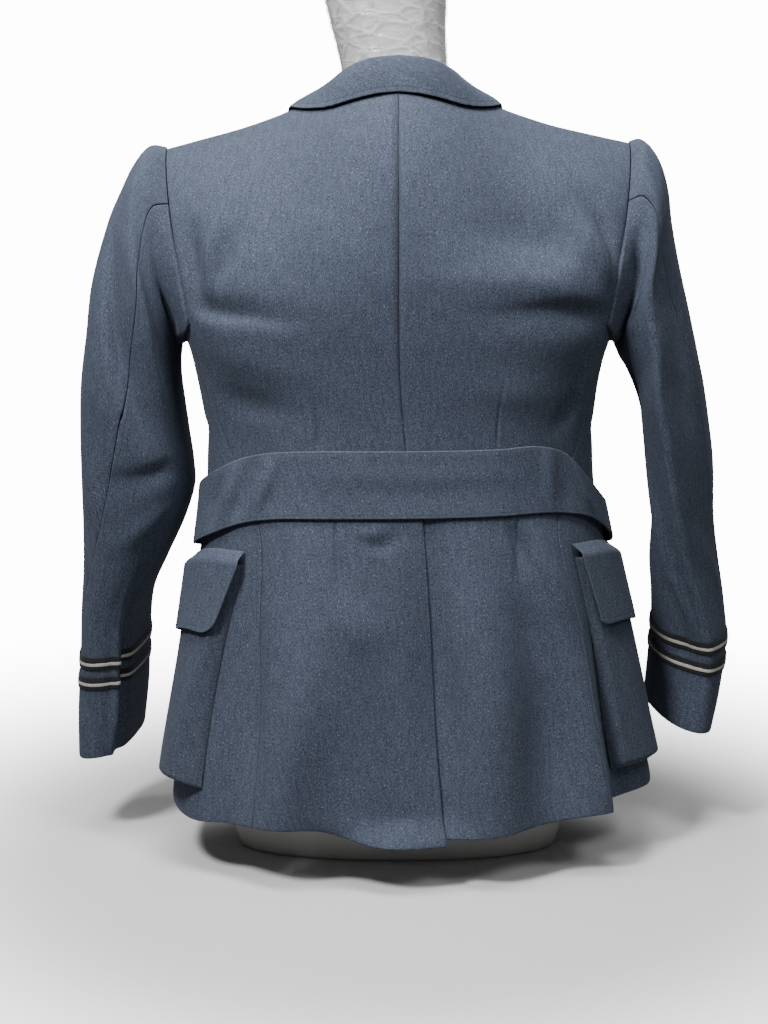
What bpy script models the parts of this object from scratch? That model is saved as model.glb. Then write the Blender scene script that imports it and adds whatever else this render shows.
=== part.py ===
"""A belted service dress jacket on a limbless dress form that stands on its own flat foot.

The wearer's front faces -Y and the wearer's left is +X. Heights are above the form's foot.
Every piece of cloth is a thin wall. The panels share one torso surface, which is read at a
place `s` round the body (0 at centre back, 1 at centre front) and a place `v` up it (0 at the
hem, 1 at the underarm, 2 at the shoulder seam or the neckline). The sleeves share one tube
for each arm, read at `a` round it (0 outside, 0.25 behind, 0.5 inside) and `t` down it.
"""

import math
from collections import namedtuple

import bmesh
import bpy
import numpy as np
from mathutils import Vector
from mathutils.bvhtree import BVHTree

LEFT, RIGHT = 1, -1
SIDE_NAME = {LEFT: "left", RIGHT: "right"}

# Thicknesses and clearances
CLOTH = 0.0018
BELT_CLOTH = 0.0028
BRAID = 0.0009
SEAM_GAP = 0.0006
REST_GAP = 0.0006
SLEEVE_GAP = 0.0016
STEP = 1e-4

# Heights of the body
UNDERARM_Z = 0.560
UNDERARM_DIP = 0.014
VENT_TOP_Z = 0.372
VENT_TUCK_TOP_Z = 0.430
VENT_TUCK = 0.0028
BREAK_Z = 0.600
ROLL_LEAN = 0.466

# Half widths across the neck and the shoulders, and what laps at the vent and the front
NECK_X = 0.072
SHOULDER_X = 0.237
FRONT_LAP = 0.018
VENT_LAP = 0.012
VENT_UNDERLAP = 0.022
LAP_LIFT = 0.0034

Section = namedtuple("Section", "z half_width back front square centre_x twist")
BODY = [
    Section(z=-0.010, half_width=0.263, back=0.160, front=0.166, square=0.86, centre_x=-0.018, twist=6.5),
    Section(z=0.045, half_width=0.262, back=0.158, front=0.166, square=0.86, centre_x=-0.018, twist=6.5),
    Section(z=0.150, half_width=0.246, back=0.150, front=0.160, square=0.86, centre_x=-0.014, twist=6.0),
    Section(z=0.250, half_width=0.230, back=0.140, front=0.154, square=0.86, centre_x=-0.010, twist=5.2),
    Section(z=0.330, half_width=0.215, back=0.129, front=0.146, square=0.85, centre_x=-0.006, twist=4.2),
    Section(z=0.400, half_width=0.204, back=0.120, front=0.139, square=0.83, centre_x=-0.003, twist=3.0),
    Section(z=0.450, half_width=0.203, back=0.119, front=0.137, square=0.80, centre_x=-0.002, twist=1.8),
    Section(z=0.505, half_width=0.209, back=0.124, front=0.138, square=0.72, centre_x=0.000, twist=0.6),
    Section(z=0.560, half_width=0.222, back=0.131, front=0.140, square=0.62, centre_x=0.000, twist=0.0),
    Section(z=0.600, half_width=0.228, back=0.135, front=0.140, square=0.60, centre_x=0.000, twist=0.0),
]

# Places of the two long seams round the body: a curved one behind the arm and one before it
Seam = namedtuple("Seam", "z side_back side_front")
SEAMS = [
    Seam(z=0.045, side_back=0.222, side_front=0.570),
    Seam(z=0.250, side_back=0.232, side_front=0.570),
    Seam(z=0.370, side_back=0.242, side_front=0.575),
    Seam(z=0.400, side_back=0.265, side_front=0.580),
    Seam(z=0.430, side_back=0.308, side_front=0.590),
    Seam(z=0.460, side_back=0.345, side_front=0.600),
    Seam(z=0.500, side_back=0.372, side_front=0.615),
    Seam(z=0.530, side_back=0.370, side_front=0.630),
    Seam(z=0.560, side_back=0.356, side_front=0.640),
]

# The hem dips and lifts round each side
Hem = namedtuple("Hem", "s left right")
HEM = [
    Hem(s=-0.10, left=0.048, right=0.052),
    Hem(s=0.00, left=0.048, right=0.054),
    Hem(s=0.06, left=0.051, right=0.057),
    Hem(s=0.13, left=0.062, right=0.061),
    Hem(s=0.20, left=0.064, right=0.068),
    Hem(s=0.26, left=0.062, right=0.068),
    Hem(s=0.36, left=0.057, right=0.072),
    Hem(s=0.50, left=0.062, right=0.072),
    Hem(s=0.70, left=0.056, right=0.058),
    Hem(s=1.00, left=0.052, right=0.052),
    Hem(s=1.10, left=0.052, right=0.052),
]

# Flutes of the skirt: how far each stands out at the hem, fading to nothing at its top
Flute = namedtuple("Flute", "side s spread out top")
FLUTES = [
    Flute(side=LEFT, s=0.035, spread=0.050, out=0.012, top=0.36),
    Flute(side=LEFT, s=0.115, spread=0.040, out=-0.011, top=0.33),
    Flute(side=LEFT, s=0.190, spread=0.045, out=0.008, top=0.36),
    Flute(side=LEFT, s=0.285, spread=0.035, out=-0.006, top=0.34),
    Flute(side=LEFT, s=0.760, spread=0.060, out=-0.005, top=0.30),
    Flute(side=RIGHT, s=0.055, spread=0.050, out=0.012, top=0.36),
    Flute(side=RIGHT, s=0.130, spread=0.045, out=-0.010, top=0.32),
    Flute(side=RIGHT, s=0.760, spread=0.060, out=-0.005, top=0.30),
]
# On the right the skirt stands out in a sharp ridge at the seam, and falls in behind it
RIDGE_OUT = 0.016
RIDGE_TOP_Z = 0.375
RIDGE_BACK_SPREAD = 0.085
RIDGE_TURN = 0.050
RIDGE_RECOVER = 0.130
RIDGE_HOLLOW = 2.1

# The shoulder seam as seen from behind, and its place between back and front
Shoulder = namedtuple("Shoulder", "x y z")
SHOULDER = [
    Shoulder(x=0.000, y=0.012, z=0.8150),
    Shoulder(x=0.036, y=0.012, z=0.8080),
    Shoulder(x=0.072, y=0.012, z=0.7930),
    Shoulder(x=0.116, y=0.010, z=0.7750),
    Shoulder(x=0.152, y=0.008, z=0.7625),
    Shoulder(x=0.204, y=0.005, z=0.7485),
    Shoulder(x=0.237, y=0.003, z=0.7400),
    Shoulder(x=0.260, y=0.002, z=0.7340),
]
SHOULDER_RAISE = {LEFT: 0.000, RIGHT: 0.006}
# The neckline is cut this far short of the shoulder line, behind and (on the form) before
NECK_CUT_BACK, NECK_CUT_FRONT = 0.20, 0.26

# Sleeve tubes: the outer and inner edge as seen from behind, then what is seen from the side
Sleeve = namedtuple("Sleeve", "outer_x outer_z inner_x inner_z y half_depth yaw tilt square crease")
SLEEVES = {
    LEFT: [
        Sleeve(0.2545, 0.7410, 0.2295, 0.5400, -0.004, 0.072, 0.00, 0.00, 0.90, 0.0),
        Sleeve(0.2700, 0.7230, 0.2300, 0.5350, -0.003, 0.076, 0.00, 0.00, 0.90, 0.0),
        Sleeve(0.2826, 0.6980, 0.2305, 0.5290, -0.002, 0.078, 0.00, 0.00, 0.90, 0.0),
        Sleeve(0.2968, 0.6654, 0.2312, 0.5210, -0.001, 0.079, 0.00, 0.00, 0.88, 0.1),
        Sleeve(0.3139, 0.6060, 0.2310, 0.5010, 0.000, 0.079, 0.02, 0.00, 0.85, 0.2),
        Sleeve(0.3205, 0.5540, 0.2285, 0.4760, 0.000, 0.078, 0.04, 0.00, 0.82, 0.2),
        Sleeve(0.3282, 0.5017, 0.2245, 0.4450, -0.002, 0.076, 0.04, 0.02, 0.80, 0.2),
        Sleeve(0.3310, 0.4490, 0.2205, 0.4130, -0.006, 0.074, 0.04, 0.04, 0.80, 0.1),
        Sleeve(0.3315, 0.3957, 0.2215, 0.3850, -0.013, 0.072, 0.06, 0.06, 0.80, 0.0),
        Sleeve(0.3320, 0.3500, 0.2350, 0.3470, -0.022, 0.070, 0.08, 0.09, 0.80, 0.0),
        Sleeve(0.3330, 0.3060, 0.2560, 0.3050, -0.031, 0.068, 0.11, 0.11, 0.80, 0.0),
        Sleeve(0.3360, 0.2620, 0.2760, 0.2620, -0.040, 0.066, 0.14, 0.13, 0.80, 0.0),
        Sleeve(0.3390, 0.2060, 0.2840, 0.2080, -0.049, 0.065, 0.16, 0.14, 0.80, 0.0),
        Sleeve(0.3440, 0.1500, 0.2880, 0.1520, -0.056, 0.064, 0.17, 0.14, 0.80, 0.0),
        Sleeve(0.3460, 0.0960, 0.2950, 0.1010, -0.062, 0.063, 0.17, 0.12, 0.80, 0.0),
    ],
    RIGHT: [
        Sleeve(0.2500, 0.7475, 0.2295, 0.5430, -0.004, 0.072, 0.00, 0.00, 0.90, 0.0),
        Sleeve(0.2650, 0.7300, 0.2305, 0.5390, -0.003, 0.076, 0.00, 0.00, 0.90, 0.0),
        Sleeve(0.2764, 0.7000, 0.2320, 0.5340, -0.002, 0.078, -0.05, 0.00, 0.90, 0.2),
        Sleeve(0.2830, 0.6623, 0.2345, 0.5270, -0.001, 0.078, -0.12, 0.00, 0.90, 0.5),
        Sleeve(0.2930, 0.6150, 0.2420, 0.5150, 0.000, 0.077, -0.20, 0.00, 0.90, 0.8),
        Sleeve(0.3040, 0.5700, 0.2520, 0.4920, 0.000, 0.076, -0.26, 0.00, 0.90, 1.0),
        Sleeve(0.3160, 0.5150, 0.2610, 0.4600, -0.001, 0.074, -0.36, 0.02, 0.90, 1.0),
        Sleeve(0.3260, 0.4600, 0.2680, 0.4290, -0.005, 0.072, -0.36, 0.03, 0.90, 1.0),
        Sleeve(0.3345, 0.4050, 0.2740, 0.3910, -0.012, 0.070, -0.33, 0.05, 0.90, 1.0),
        Sleeve(0.3400, 0.3530, 0.2760, 0.3500, -0.022, 0.069, -0.22, 0.07, 0.90, 1.0),
        Sleeve(0.3480, 0.3090, 0.2770, 0.3060, -0.033, 0.068, -0.10, 0.09, 0.90, 1.0),
        Sleeve(0.3560, 0.2660, 0.2840, 0.2620, -0.043, 0.067, 0.02, 0.10, 0.90, 0.9),
        Sleeve(0.3590, 0.2220, 0.2900, 0.2200, -0.051, 0.066, 0.14, 0.11, 0.88, 0.7),
        Sleeve(0.3510, 0.1700, 0.2910, 0.1720, -0.058, 0.065, 0.18, 0.12, 0.84, 0.4),
        Sleeve(0.3400, 0.1250, 0.2910, 0.1290, -0.063, 0.064, 0.20, 0.13, 0.80, 0.2),
    ],
}
# Where the seam behind the arm runs round each tube, and the one before it
HindSeam = namedtuple("HindSeam", "t left right")
HIND_SEAM = [
    HindSeam(t=0.00, left=0.185, right=0.185),
    HindSeam(t=0.09, left=0.205, right=0.190),
    HindSeam(t=0.20, left=0.240, right=0.185),
    HindSeam(t=0.32, left=0.270, right=0.160),
    HindSeam(t=0.45, left=0.255, right=0.110),
    HindSeam(t=0.60, left=0.210, right=0.075),
    HindSeam(t=0.80, left=0.150, right=0.060),
    HindSeam(t=1.00, left=0.120, right=0.060),
]
FORE_SEAM = 0.690
ARMHOLE_BACK_END, ARMHOLE_FRONT_START = 0.385, 0.615

# Rank braid: two flat bands round each cuff, measured up from the sleeve's edge
BRAID_WIDTH = 0.014
BRAID_FEET = {LEFT: (0.082, 0.105), RIGHT: (0.067, 0.091)}

# Belt: sewn flat across the back, then hanging lower to the buckle at the front
Belt = namedtuple("Belt", "s foot_left top_left off_left foot_right top_right off_right")
BELT = [
    Belt(s=0.00, foot_left=0.3715, top_left=0.4385, off_left=0.0010,
         foot_right=0.3715, top_right=0.4385, off_right=0.0010),
    Belt(s=0.12, foot_left=0.3710, top_left=0.4380, off_left=0.0010,
         foot_right=0.3725, top_right=0.4395, off_right=0.0010),
    Belt(s=0.21, foot_left=0.3690, top_left=0.4350, off_left=0.0012,
         foot_right=0.3735, top_right=0.4410, off_right=0.0010),
    Belt(s=0.27, foot_left=0.3640, top_left=0.4290, off_left=0.0020,
         foot_right=0.3710, top_right=0.4330, off_right=0.0020),
    Belt(s=0.34, foot_left=0.3530, top_left=0.4170, off_left=0.0040,
         foot_right=0.3630, top_right=0.4060, off_right=0.0045),
    Belt(s=0.42, foot_left=0.3400, top_left=0.4030, off_left=0.0060,
         foot_right=0.3430, top_right=0.3800, off_right=0.0070),
    Belt(s=0.52, foot_left=0.3270, top_left=0.3890, off_left=0.0050,
         foot_right=0.3230, top_right=0.3720, off_right=0.0070),
    Belt(s=0.70, foot_left=0.3120, top_left=0.3780, off_left=0.0030,
         foot_right=0.3110, top_right=0.3740, off_right=0.0040),
    Belt(s=0.88, foot_left=0.3060, top_left=0.3730, off_left=0.0040,
         foot_right=0.3060, top_right=0.3730, off_right=0.0040),
    Belt(s=1.05, foot_left=0.3050, top_left=0.3720, off_left=0.0040,
         foot_right=0.3050, top_right=0.3720, off_right=0.0040),
]
BELT_END_S = 0.990
BELT_TIP_S = (0.850, 1.030)
BELT_TIP_INSET = 0.002

# Hip pockets: a bellows bag and a deep flap on each side
Pocket = namedtuple("Pocket", "back_s front_s top_z foot_z out_top out_foot out_front lean")
POCKETS = {
    LEFT: Pocket(0.272, 0.660, top_z=0.322, foot_z=0.092, out_top=0.009, out_foot=0.024, out_front=0.009, lean=0.106),
    RIGHT: Pocket(0.266, 0.660, top_z=0.326, foot_z=0.100, out_top=0.009, out_foot=0.018, out_front=0.009, lean=0.030),
}
FLAP_RISE = 0.014
FLAP_DROP = 0.071
FLAP_SAG = 0.034
FLAP_SAG_START = 0.15
LEAN_AT_BASE = 0.60
FLAP_OVERHANG_S = 0.006
FLAP_CORNER = 0.016
FLAP_CLEAR = 0.0022
POCKET_BASE = {LEFT: 0.0017, RIGHT: 0.0022}
POCKET_FOOT_BASE = 0.0014

# Front fastening
BUTTON_HEIGHTS = (0.580, 0.505, 0.430, 0.255)
BUTTON_RADIUS = 0.011
BUTTON_DEPTH = 0.0035
BUCKLE_HALF_WIDTH = 0.026
BUCKLE_HALF_HEIGHT = 0.040
BUCKLE_WIRE = 0.0028

# Collar: the fold round the neck and the outer edge of the fall, from centre back to the front
Collar = namedtuple("Collar", "fold_x fold_y fold_z edge_x edge_y edge_z")
COLLAR = [
    Collar(0.000, 0.0670, 0.8245, 0.000, 0.0840, 0.7930),
    Collar(0.030, 0.0640, 0.8215, 0.042, 0.0790, 0.7880),
    Collar(0.053, 0.0480, 0.8140, 0.074, 0.0640, 0.7810),
    Collar(0.066, 0.0230, 0.8060, 0.098, 0.0360, 0.7780),
    Collar(0.072, -0.0060, 0.7970, 0.112, 0.0000, 0.7750),
    Collar(0.0665, -0.0340, 0.7820, 0.116, -0.0380, 0.7640),
    Collar(0.0555, -0.0620, 0.7610, 0.112, -0.0700, 0.7460),
]
COLLAR_STAND_LIFT = 0.0036
COLLAR_STAND_FOOT = (0.0008, 0.0007)
COLLAR_STAND_END = 0.60
COLLAR_BULGE = 0.0035
COLLAR_LIFT = 0.0042
COLLAR_TURN = 0.020
NOTCH_DROP, NOTCH_SHARE = 0.0115, 0.70

# Lapel: the roll line runs up to the gorge, and the outer edge out to the notch
GORGE_Z = 0.757
LAPEL_CORNER_X, LAPEL_CORNER_Z = 0.126, 0.716
LAPEL_BELLY = 0.008
LAPEL_LIFT = 0.0026
LAPEL_FOOT = {LEFT: 0.05, RIGHT: 0.23}

# Dress form
FORM_FOOT_Z = 0.0
Inset = namedtuple("Inset", "z depth")
FORM_INSET = [
    Inset(z=-0.010, depth=0.090),
    Inset(z=0.000, depth=0.088),
    Inset(z=0.050, depth=0.080),
    Inset(z=0.150, depth=0.058),
    Inset(z=0.250, depth=0.044),
    Inset(z=0.330, depth=0.033),
    Inset(z=0.400, depth=0.026),
    Inset(z=0.480, depth=0.022),
    Inset(z=0.560, depth=0.020),
]
FORM_BACK_INSET = CLOTH + REST_GAP
FORM_FRONT_INSET = 0.0050
FORM_NECK_INSET = 0.0065
Neck = namedtuple("Neck", "z half_width back front centre_x")
FORM_NECK = [
    Neck(z=0.796, half_width=0.0570, back=0.0570, front=0.0560, centre_x=0.001),
    Neck(z=0.808, half_width=0.0545, back=0.0550, front=0.0550, centre_x=0.002),
    Neck(z=0.825, half_width=0.0540, back=0.0540, front=0.0540, centre_x=0.004),
    Neck(z=0.860, half_width=0.0580, back=0.0545, front=0.0545, centre_x=0.010),
    Neck(z=0.905, half_width=0.0650, back=0.0580, front=0.0570, centre_x=0.014),
    Neck(z=0.915, half_width=0.0600, back=0.0530, front=0.0520, centre_x=0.014),
]

# How finely the walls are divided
LOW_ROWS = np.linspace(0.0, 1.0, 17)
HIGH_ROWS = 1.0 + np.array([0.0, 0.13, 0.26, 0.39, 0.51, 0.62, 0.72, 0.81, 0.89, 0.95, 1.0])
TORSO_ROWS = np.concatenate([LOW_ROWS[:-1], HIGH_ROWS])
TOP_XS = (0.0, 0.022, 0.042, 0.058, 0.068, NECK_X, 0.098, 0.126, 0.154, 0.182, 0.210, SHOULDER_X)
FRONT_COLUMNS = 1 - np.linspace(1.0, 0.0, 12) ** 1.45
SIDE_COLUMNS = np.linspace(0.0, 1.0, 8)
POCKET_COLUMNS = (0.0, 0.008, 0.016, 0.08, 0.2, 0.35, 0.5, 0.65, 0.8, 0.92, 0.984, 0.992, 1.0)
POCKET_ROWS = (0.0, 0.12, 0.3, 0.5, 0.7, 0.88, 0.97, 0.985, 1.0)
FLAP_COLUMNS = (0.0, 0.03, 0.07, 0.2, 0.4, 0.6, 0.8, 0.93, 0.97, 1.0)
COLLAR_ROWS = (-0.08, 0.0, 0.15, 0.35, 0.55, 0.78, 1.0)
FLAP_ROWS = (0.0, 0.1, 0.2, 0.45, 0.7, 1.0)
TOP_SLEEVE_COLUMNS = np.array([0.0, 0.09, 0.18, 0.27, 0.36, 0.45, 0.54, 0.626, 0.72, 0.81, 0.905, 1.0])
UNDER_SLEEVE_COLUMNS = np.array([0.0, 0.13, 0.264, 0.396, 0.51, 0.624, 0.738, 0.851, 1.0])
FORM_ARM_COLUMNS = 4

Paint = namedtuple("Paint", "colour roughness metallic")
PAINTS = {
    "wool": Paint(colour=(0.045, 0.065, 0.105), roughness=0.85, metallic=0.0),
    "braid": Paint(colour=(0.020, 0.021, 0.023), roughness=0.75, metallic=0.0),
    "gilt": Paint(colour=(0.78, 0.60, 0.28), roughness=0.30, metallic=1.0),
    "form": Paint(colour=(0.80, 0.80, 0.78), roughness=0.35, metallic=0.0),
}


def read(table, column, place):
    """A column of a table, read on a smooth curve through its rows at each place."""
    keys = np.array([row[0] for row in table])
    values = np.array([getattr(row, column) for row in table])
    slopes = np.gradient(values, keys)
    place = np.clip(np.asarray(place, float), keys[0], keys[-1])
    i = np.clip(np.searchsorted(keys, place) - 1, 0, len(keys) - 2)
    width = keys[i + 1] - keys[i]
    f = (place - keys[i]) / width
    return (
        (1 + 2 * f) * (1 - f) ** 2 * values[i]
        + f * (1 - f) ** 2 * width * slopes[i]
        + f * f * (3 - 2 * f) * values[i + 1]
        + f * f * (f - 1) * width * slopes[i + 1]
    )


def ease(f):
    """0 to 1 with level ends."""
    f = np.clip(f, 0.0, 1.0)
    return f * f * (3 - 2 * f)


def power(value, exponent):
    """A power that keeps the sign, which squares up a circle."""
    return np.sign(value) * np.abs(value) ** exponent


def points(x, y, z):
    return np.stack(np.broadcast_arrays(x, y, z), axis=-1)


def unit(vectors):
    return vectors / np.maximum(np.linalg.norm(vectors, axis=-1, keepdims=True), 1e-12)


def section(side, s, z):
    """The plain horizontal section of the torso, with no fold, twist or lean."""
    angle = np.pi * s
    square = read(BODY, "square", z)
    across = power(np.sin(angle), square)
    along = power(np.cos(angle), square)
    depth = np.where(along > 0, read(BODY, "back", z), read(BODY, "front", z))
    return points(side * read(BODY, "half_width", z) * across, depth * along, z)


def fold(side, s, z):
    """How far the skirt stands out of its plain section."""
    out = np.zeros(np.broadcast(s, z).shape)
    for flute in FLUTES:
        if flute.side == side:
            reach = ease((flute.top - z) / (flute.top - BODY[1].z))
            out = out + flute.out * reach * np.exp(-(((s - flute.s) / flute.spread) ** 2))
    if side == RIGHT:
        past = s - read(SEAMS, "side_back", z)
        before = np.exp(-((past / RIDGE_BACK_SPREAD) ** 2))
        behind = 1 - RIDGE_HOLLOW * ease(past / RIDGE_TURN)
        behind = behind + (RIDGE_HOLLOW - 1) * ease((past - RIDGE_TURN) / RIDGE_RECOVER)
        reach = ease((RIDGE_TOP_Z - z) / (RIDGE_TOP_Z - BODY[1].z))
        out = out + RIDGE_OUT * reach * np.where(past < 0, before, behind)
    return out


def lower(side, s, z):
    """The torso below the underarm, folded, twisted and leaning as it is worn."""
    place = section(side, s, z)
    round_it = section(side, s + STEP, z) - section(side, s - STEP, z)
    outward = unit(np.cross(round_it, (0.0, 0.0, 1.0))) * -side
    place = place + outward * fold(side, s, z)[..., None]
    twist = np.radians(read(BODY, "twist", z))
    x, y = place[..., 0], place[..., 1]
    turned_x = x * np.cos(twist) - y * np.sin(twist) + read(BODY, "centre_x", z)
    return points(turned_x, x * np.sin(twist) + y * np.cos(twist), z)


def top_x(side, s):
    """How far out along the shoulder line a column of the torso ends."""
    seam = np.where(s < 0.5, SEAMS[-1].side_back, SEAMS[-1].side_front)
    x_at_seam = np.abs(section(side, seam, UNDERARM_Z)[..., 0])
    return np.abs(section(side, s, UNDERARM_Z)[..., 0]) * SHOULDER_X / x_at_seam


def upper(side, s, u):
    """The torso from the underarm up to the shoulder line: one cubic curve for each column."""
    s = np.asarray(s, float)
    start = lower(side, s, UNDERARM_Z)
    rise = (start - lower(side, s, UNDERARM_Z - 0.004)) / 0.004
    x = top_x(side, s)
    z = read(SHOULDER, "z", x)
    z = z + SHOULDER_RAISE[side] * (np.maximum(x - NECK_X, 0) / (SHOULDER_X - NECK_X)) ** 1.5
    end = points(side * x * np.sign(np.sin(np.pi * s) + 1e-12), read(SHOULDER, "y", x), z)
    is_back = s < 0.5
    at_neck = 1 - ease(x / 0.14)
    arrive_y = np.where(is_back, -0.040 - 0.080 * at_neck, 0.042 + 0.030 * at_neck)
    arrive_z = np.where(is_back, 0.010 + 0.005 * at_neck, 0.008 + 0.006 * at_neck)
    first = start + rise * 0.080
    last = end - points(0.0 * arrive_y, arrive_y, arrive_z)
    u = np.asarray(u, float)[..., None]
    return (1 - u) ** 3 * start + 3 * u * (1 - u) ** 2 * first + 3 * u * u * (1 - u) * last + u**3 * end


def neck_share(side, s, cut):
    """The part of a column below the neckline."""
    return 1 - cut * np.sqrt(np.clip(1 - (top_x(side, s) / NECK_X) ** 2, 0, 1))


def torso(side, s, v, front_cut=0.0):
    """The outer face of the body panels."""
    s, v = np.broadcast_arrays(np.asarray(s, float), np.asarray(v, float))
    hem = read(HEM, SIDE_NAME[side], s)
    low = lower(side, s, hem + (UNDERARM_Z - hem) * np.clip(v, 0, 1))
    share = neck_share(side, s, np.where(s < 0.5, NECK_CUT_BACK, front_cut))
    high = upper(side, s, np.clip(v - 1, 0, 1) * share)
    return np.where((v <= 1)[..., None], low, high)


def normals_of(surface, p, q, low, high, sign):
    """Outward directions of a surface, from its own slopes."""
    p, q = np.broadcast_arrays(np.asarray(p, float), np.asarray(q, float))
    along_p = surface(p + STEP, q) - surface(p - STEP, q)
    along_q = surface(p, np.minimum(q + STEP, high)) - surface(p, np.maximum(q - STEP, low))
    return unit(np.cross(along_p, along_q)) * sign


def torso_normal(side, s, v):
    return normals_of(lambda p, q: torso(side, p, q), s, v, 0.0, 2.0, -side)


def height_to_v(side, s, z):
    hem = read(HEM, SIDE_NAME[side], s)
    return (z - hem) / (UNDERARM_Z - hem)


def column_place(is_back, x_top):
    """The s of the column that ends x_top out along the neckline or the shoulder seam."""
    seam = SEAMS[-1].side_back if is_back else SEAMS[-1].side_front
    x_at_seam = abs(float(section(LEFT, np.array(seam), UNDERARM_Z)[0]))
    half_width, square = float(read(BODY, "half_width", UNDERARM_Z)), float(read(BODY, "square", UNDERARM_Z))
    share = min(x_top * x_at_seam / SHOULDER_X / half_width, 1.0)
    angle = math.asin(share ** (1 / square)) / math.pi
    return angle if is_back else 1 - angle


def past_centre(distance, z):
    """How far beyond centre back or centre front a lap reaches, as a change of s."""
    share = distance / read(BODY, "half_width", z)
    return np.arcsin(share ** (1 / read(BODY, "square", z))) / np.pi


def seam_place(column, side, v):
    """Where a long seam lies at each v."""
    z = read(HEM, SIDE_NAME[side], 0.3) * (1 - np.clip(v, 0, 1)) + UNDERARM_Z * np.clip(v, 0, 1)
    return read(SEAMS, column, z)


def back_panel(side):
    """Half of the back, with the vent's lap below the belt. Columns run from centre back."""

    def place(c, v):
        z = BODY[1].z + (UNDERARM_Z - BODY[1].z) * np.clip(v, 0, 1)
        in_vent = z < VENT_TOP_Z
        lap = VENT_LAP if side == LEFT else VENT_UNDERLAP
        inner = np.where(in_vent, -past_centre(lap, z), past_centre(SEAM_GAP / 3, z))
        outer = seam_place("side_back", side, v) - SEAM_GAP * (v < 1)
        s = inner + (outer - inner) * c
        normal = torso_normal(side, s, v)
        tucked = (side == RIGHT) * ease((VENT_TUCK_TOP_Z - z) / 0.025) * (1 - ease(s / 0.05))
        here = torso(side, s, v) - normal * (VENT_TUCK * tucked)[..., None]
        return seamed(here, normal, v, 1)

    return place


def seamed(here, normal, v, backwards):
    """The shoulder seam's edges stand upright and a hair apart."""
    at_seam = (v >= 2) & (np.abs(here[..., 0]) > NECK_X - STEP)
    here = here + points(0.0, backwards * SEAM_GAP / 2 * at_seam, 0.0)
    return here, np.where(at_seam[..., None], (0.0, 0.0, 1.0), normal)


def side_panel(side):
    """The narrow panel under the arm."""

    def place(c, f):
        top = 1.0
        seam_top = seam_place("side_back", side, np.array(top)), seam_place("side_front", side, np.array(top))
        inner = seam_place("side_back", side, f) + SEAM_GAP
        outer = seam_place("side_front", side, f) - SEAM_GAP
        s = inner + (outer - inner) * c
        share = np.clip((s - seam_top[0]) / (seam_top[1] - seam_top[0]), 0, 1)
        dip = UNDERARM_DIP / (UNDERARM_Z - BODY[1].z)
        v = f * (1 - dip * np.sin(np.pi * share) * f**4)
        return torso(side, s, v), torso_normal(side, s, v)

    return place


def roll_x(z):
    """The lapel's roll line as seen from the front: how far it is from centre front."""
    return -FRONT_LAP + ROLL_LEAN * np.maximum(z - BREAK_Z, 0.0)


def front_edge(side, v):
    """Where the front's edge, or its roll line, lies at each v."""
    low, high = np.full(v.shape, 0.60), np.full(v.shape, 1.06)
    for _ in range(28):
        middle = (low + high) / 2
        here = torso(side, middle, v)
        twist = np.radians(read(BODY, "twist", here[..., 2]))
        x = here[..., 0] - read(BODY, "centre_x", here[..., 2])
        straight_x = side * (x * np.cos(twist) + here[..., 1] * np.sin(twist))
        inside = straight_x > roll_x(here[..., 2])
        low, high = np.where(inside, middle, low), np.where(inside, high, middle)
    return (low + high) / 2


def front_lift(side, s):
    """The wearer's left front laps over the right one."""
    return (LAP_LIFT if side == LEFT else 0.0) * ease((s - 0.90) / 0.05)


def front_panel(side):
    """Half of the front, from the seam before the arm to the edge and the roll line."""

    def place(c, v):
        outer = seam_place("side_front", side, v) + SEAM_GAP * (v < 1)
        s = outer + (front_edge(side, v) - outer) * c
        normal = torso_normal(side, s, v)
        return seamed(torso(side, s, v) + normal * front_lift(side, s)[..., None], normal, v, -1)

    return place


def armhole(side, a):
    """The edge of the body panels round the arm, from the shoulder down behind it and up again."""
    back = np.clip(a / ARMHOLE_BACK_END, 0, 1)
    under = np.clip((a - ARMHOLE_BACK_END) / (ARMHOLE_FRONT_START - ARMHOLE_BACK_END), 0, 1)
    front = np.clip((a - ARMHOLE_FRONT_START) / (1 - ARMHOLE_FRONT_START), 0, 1)
    back_s, front_s = SEAMS[-1].side_back, SEAMS[-1].side_front
    s = back_s + (front_s - back_s) * under
    s = np.where(a > ARMHOLE_FRONT_START, front_s, s)
    dip = UNDERARM_DIP / (UNDERARM_Z - BODY[1].z) * np.sin(np.pi * under)
    v = np.where(a < ARMHOLE_BACK_END, 2 - back, np.where(a > ARMHOLE_FRONT_START, 1 + front, 1 - dip))
    return torso(side, s, v)


def sleeve_ring(side, row, a):
    """One ring of a sleeve."""
    angle = 2 * np.pi * a
    across, along = power(np.cos(angle), row.square), power(np.sin(angle), row.square)
    ridge = 2 / np.pi * np.arcsin(np.clip(np.sin(angle), 0, 1))
    along = np.where(along > 0, along + (ridge - along) * row.crease, along)
    x = (row.outer_x + row.inner_x) / 2 + (row.outer_x - row.inner_x) / 2 * across
    z = (row.outer_z + row.inner_z) / 2 + (row.outer_z - row.inner_z) / 2 * across
    y = row.half_depth * along
    return points(side * (x + row.yaw * y), row.y + y, z - row.tilt * y)


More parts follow.
